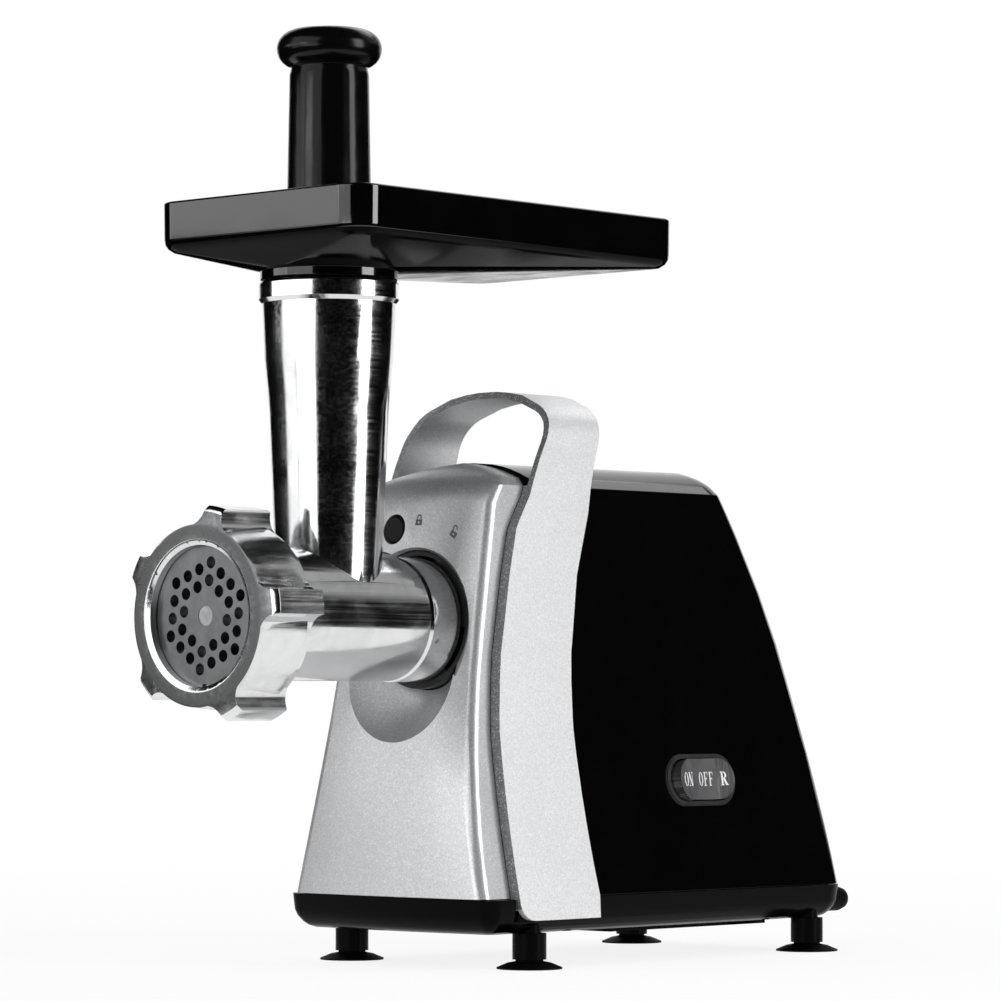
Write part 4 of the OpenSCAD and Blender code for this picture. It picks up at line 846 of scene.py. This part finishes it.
def glowing(name, level):
    """A material that only glows, evenly, and its tree and Emission node."""
    material = bpy.data.materials.new(name)
    material.use_nodes = True
    tree = material.node_tree
    tree.nodes.clear()
    glow = add(tree, "ShaderNodeEmission", Strength=level)
    glow.inputs["Color"].default_value = WHITE
    out = add(tree, "ShaderNodeOutputMaterial")
    wire(tree, glow.outputs[0], out.inputs["Surface"])
    return material, tree, glow


def hang_card(name, pairs, paint, closed=False):
    """Makes a card as a strip of faces between pairs of points; only reflections see it."""
    verts = [point for pair in pairs for point in pair]
    faces = []
    for step in range(len(pairs) if closed else len(pairs) - 1):
        a, b = 2 * step, 2 * ((step + 1) % len(pairs))
        faces.append((a, b, b + 1, a + 1))
    mesh = bpy.data.meshes.new(name)
    mesh.from_pydata(verts, [], faces)
    mesh.materials.append(paint)
    obj = bpy.data.objects.new(name, mesh)
    bpy.context.scene.collection.objects.link(obj)
    obj.visible_camera = False
    obj.visible_diffuse = False
    obj.visible_shadow = False


def curved_card(name, paint, turn_from, turn_to, distance, low, high, steps):
    """An upright card, curved round the machine."""
    turns = [turn_from + (turn_to - turn_from) * step / steps for step in range(steps + 1)]
    pairs = [[studio_point(turn, distance, height) for height in (low, high)] for turn in turns]
    hang_card(name, pairs, paint)


def ring_card(name, paint, inner, outer, height, steps=48):
    """A flat ring round the machine, on the floor or overhead."""
    turns = [360.0 * step / steps for step in range(steps)]
    pairs = [[studio_point(turn, edge, height) for edge in (inner, outer)] for turn in turns]
    hang_card(name, pairs, paint, closed=True)


black_card = blank_paint("black_card", (0.002, 0.002, 0.002))
curved_card("card_front", black_card, -150.0, 146.0, 3.2, -0.05, ROOM_TOP, 24)
curved_card("card_rear", black_card, 146.0, 210.0, 3.2, 2.9, ROOM_TOP, 8)
ring_card("card_floor", black_card, TABLE_EDGE, 25.0, ON_FLOOR)
ring_card("card_table", glowing("card_table", 0.95)[0], 0.001, TABLE_EDGE, ON_FLOOR)
ring_card("card_ceiling", black_card, 0.001, 3.3, ROOM_TOP)
print("5 plain cards")

# %% [markdown]
# **Glowing panels.** Each bright stripe on the machine is the reflection of one panel.
# A panel fades out towards its ends, so its stripe has soft edges: the material compares
# the direction of a point on the panel with the direction of the panel's middle, and their
# dot product is the cosine of the angle between them.

# %% Panels with soft ends
PANEL_STEPS = 24
FULL_GLOW_SHARE = 0.72
# name, turn from and to, distance, low and high edge in metres, level
PANELS = (
    ("glow_tray", -104.0, -68.0, 1.9, 0.36, 0.62, 2.1),
    ("glow_pusher", -66.0, -44.0, 1.9, 0.5, 0.66, 5.0),
    ("glow_left", -88.0, -40.0, 1.9, 0.0, 0.33, 1.3),
    ("glow_near", -60.0, -20.0, 1.88, 0.0, 0.33, 2.6),
    ("glow_high", 96.0, 150.0, 3.0, 1.2, 3.3, 0.4),
)


def soft_glow(name, turn_from, turn_to, level):
    """A glow that fades from its level to nothing towards both ends of a panel."""
    middle = studio_point((turn_from + turn_to) / 2, 1.0, 0.0)
    reach = math.radians(abs(turn_to - turn_from)) / 2
    material, tree, glow = glowing(name, level)
    spot = add(tree, "ShaderNodeTexCoord")
    flat = add(tree, "ShaderNodeVectorMath", operation="MULTIPLY")
    wire(tree, spot.outputs["Object"], flat.inputs[0])
    flat.inputs[1].default_value = (1.0, 1.0, 0.0)
    unit = add(tree, "ShaderNodeVectorMath", operation="NORMALIZE")
    wire(tree, flat.outputs[0], unit.inputs[0])
    facing = add(tree, "ShaderNodeVectorMath", operation="DOT_PRODUCT")
    wire(tree, unit.outputs[0], facing.inputs[0])
    facing.inputs[1].default_value = middle
    ends, full = math.cos(reach), math.cos(reach * FULL_GLOW_SHARE)
    strength = ramp(tree, facing.outputs["Value"], ends, full, 0.0, level, smooth=True)
    wire(tree, strength, glow.inputs["Strength"])
    return material


for name, turn_from, turn_to, distance, low_edge, high_edge, level in PANELS:
    paint = soft_glow(name, turn_from, turn_to, level)
    curved_card(name, paint, turn_from, turn_to, distance, low_edge, high_edge, PANEL_STEPS)
print(len(PANELS), "glowing panels")

# %% [markdown]
# **Softboxes** light what is matt: a large one on the left, a narrow strip on the right and
# one behind and above, which lights the tops.

# %% Softboxes
AIM_HEIGHT = 0.14
# name, turn, distance, height, width, height of the box in metres, power in watts
SOFTBOXES = (
    ("left_box", -56.0, 1.7, 0.75, 2.1, 1.7, 16.0),
    ("right_strip", 67.0, 1.8, 0.5, 0.7, 1.7, 23.0),
    ("top_box", 150.0, 1.6, 1.9, 1.6, 0.8, 9.0),
)
for name, turn, distance, height, wide, tall, power in SOFTBOXES:
    lamp = bpy.data.lights.new(name, "AREA")
    lamp.shape = "RECTANGLE"
    lamp.size = wide
    lamp.size_y = tall
    lamp.energy = power
    box = bpy.data.objects.new(name, lamp)
    box.location = studio_point(turn, distance, height)
    facing = Vector((0.0, 0.0, AIM_HEIGHT)) - box.location
    box.rotation_euler = facing.to_track_quat("-Z", "Y").to_euler()
    box.visible_camera = False
    bpy.context.scene.collection.objects.link(box)
print(len(SOFTBOXES), "softboxes")

# %% [markdown]
# **The world** shows as pure white behind the machine and in mirrors, but it lights matt
# surfaces less than that, so that the softboxes still shape them.

# %% A white room
ROOM_LIGHT = 0.66
world = bpy.data.worlds.new("white_room")
bpy.context.scene.world = world
world.use_nodes = True
room = world.node_tree
room.nodes.clear()
shown = add(room, "ShaderNodeBackground", Strength=1.0)
unseen = add(room, "ShaderNodeBackground", Strength=ROOM_LIGHT)
for background in (shown, unseen):
    background.inputs["Color"].default_value = WHITE
room_mix = add(room, "ShaderNodeMixShader")
wire(room, seen_directly(room), room_mix.inputs[0])
wire(room, unseen.outputs[0], room_mix.inputs[1])
wire(room, shown.outputs[0], room_mix.inputs[2])
room_out = add(room, "ShaderNodeOutputWorld")
wire(room, room_mix.outputs[0], room_out.inputs["Surface"])
bpy.context.scene.view_settings.view_transform = "Standard"
print("studio ready")

# %% [markdown]
# The last cell brings the scene up to date.

# %% Update the scene
bpy.context.view_layer.update()
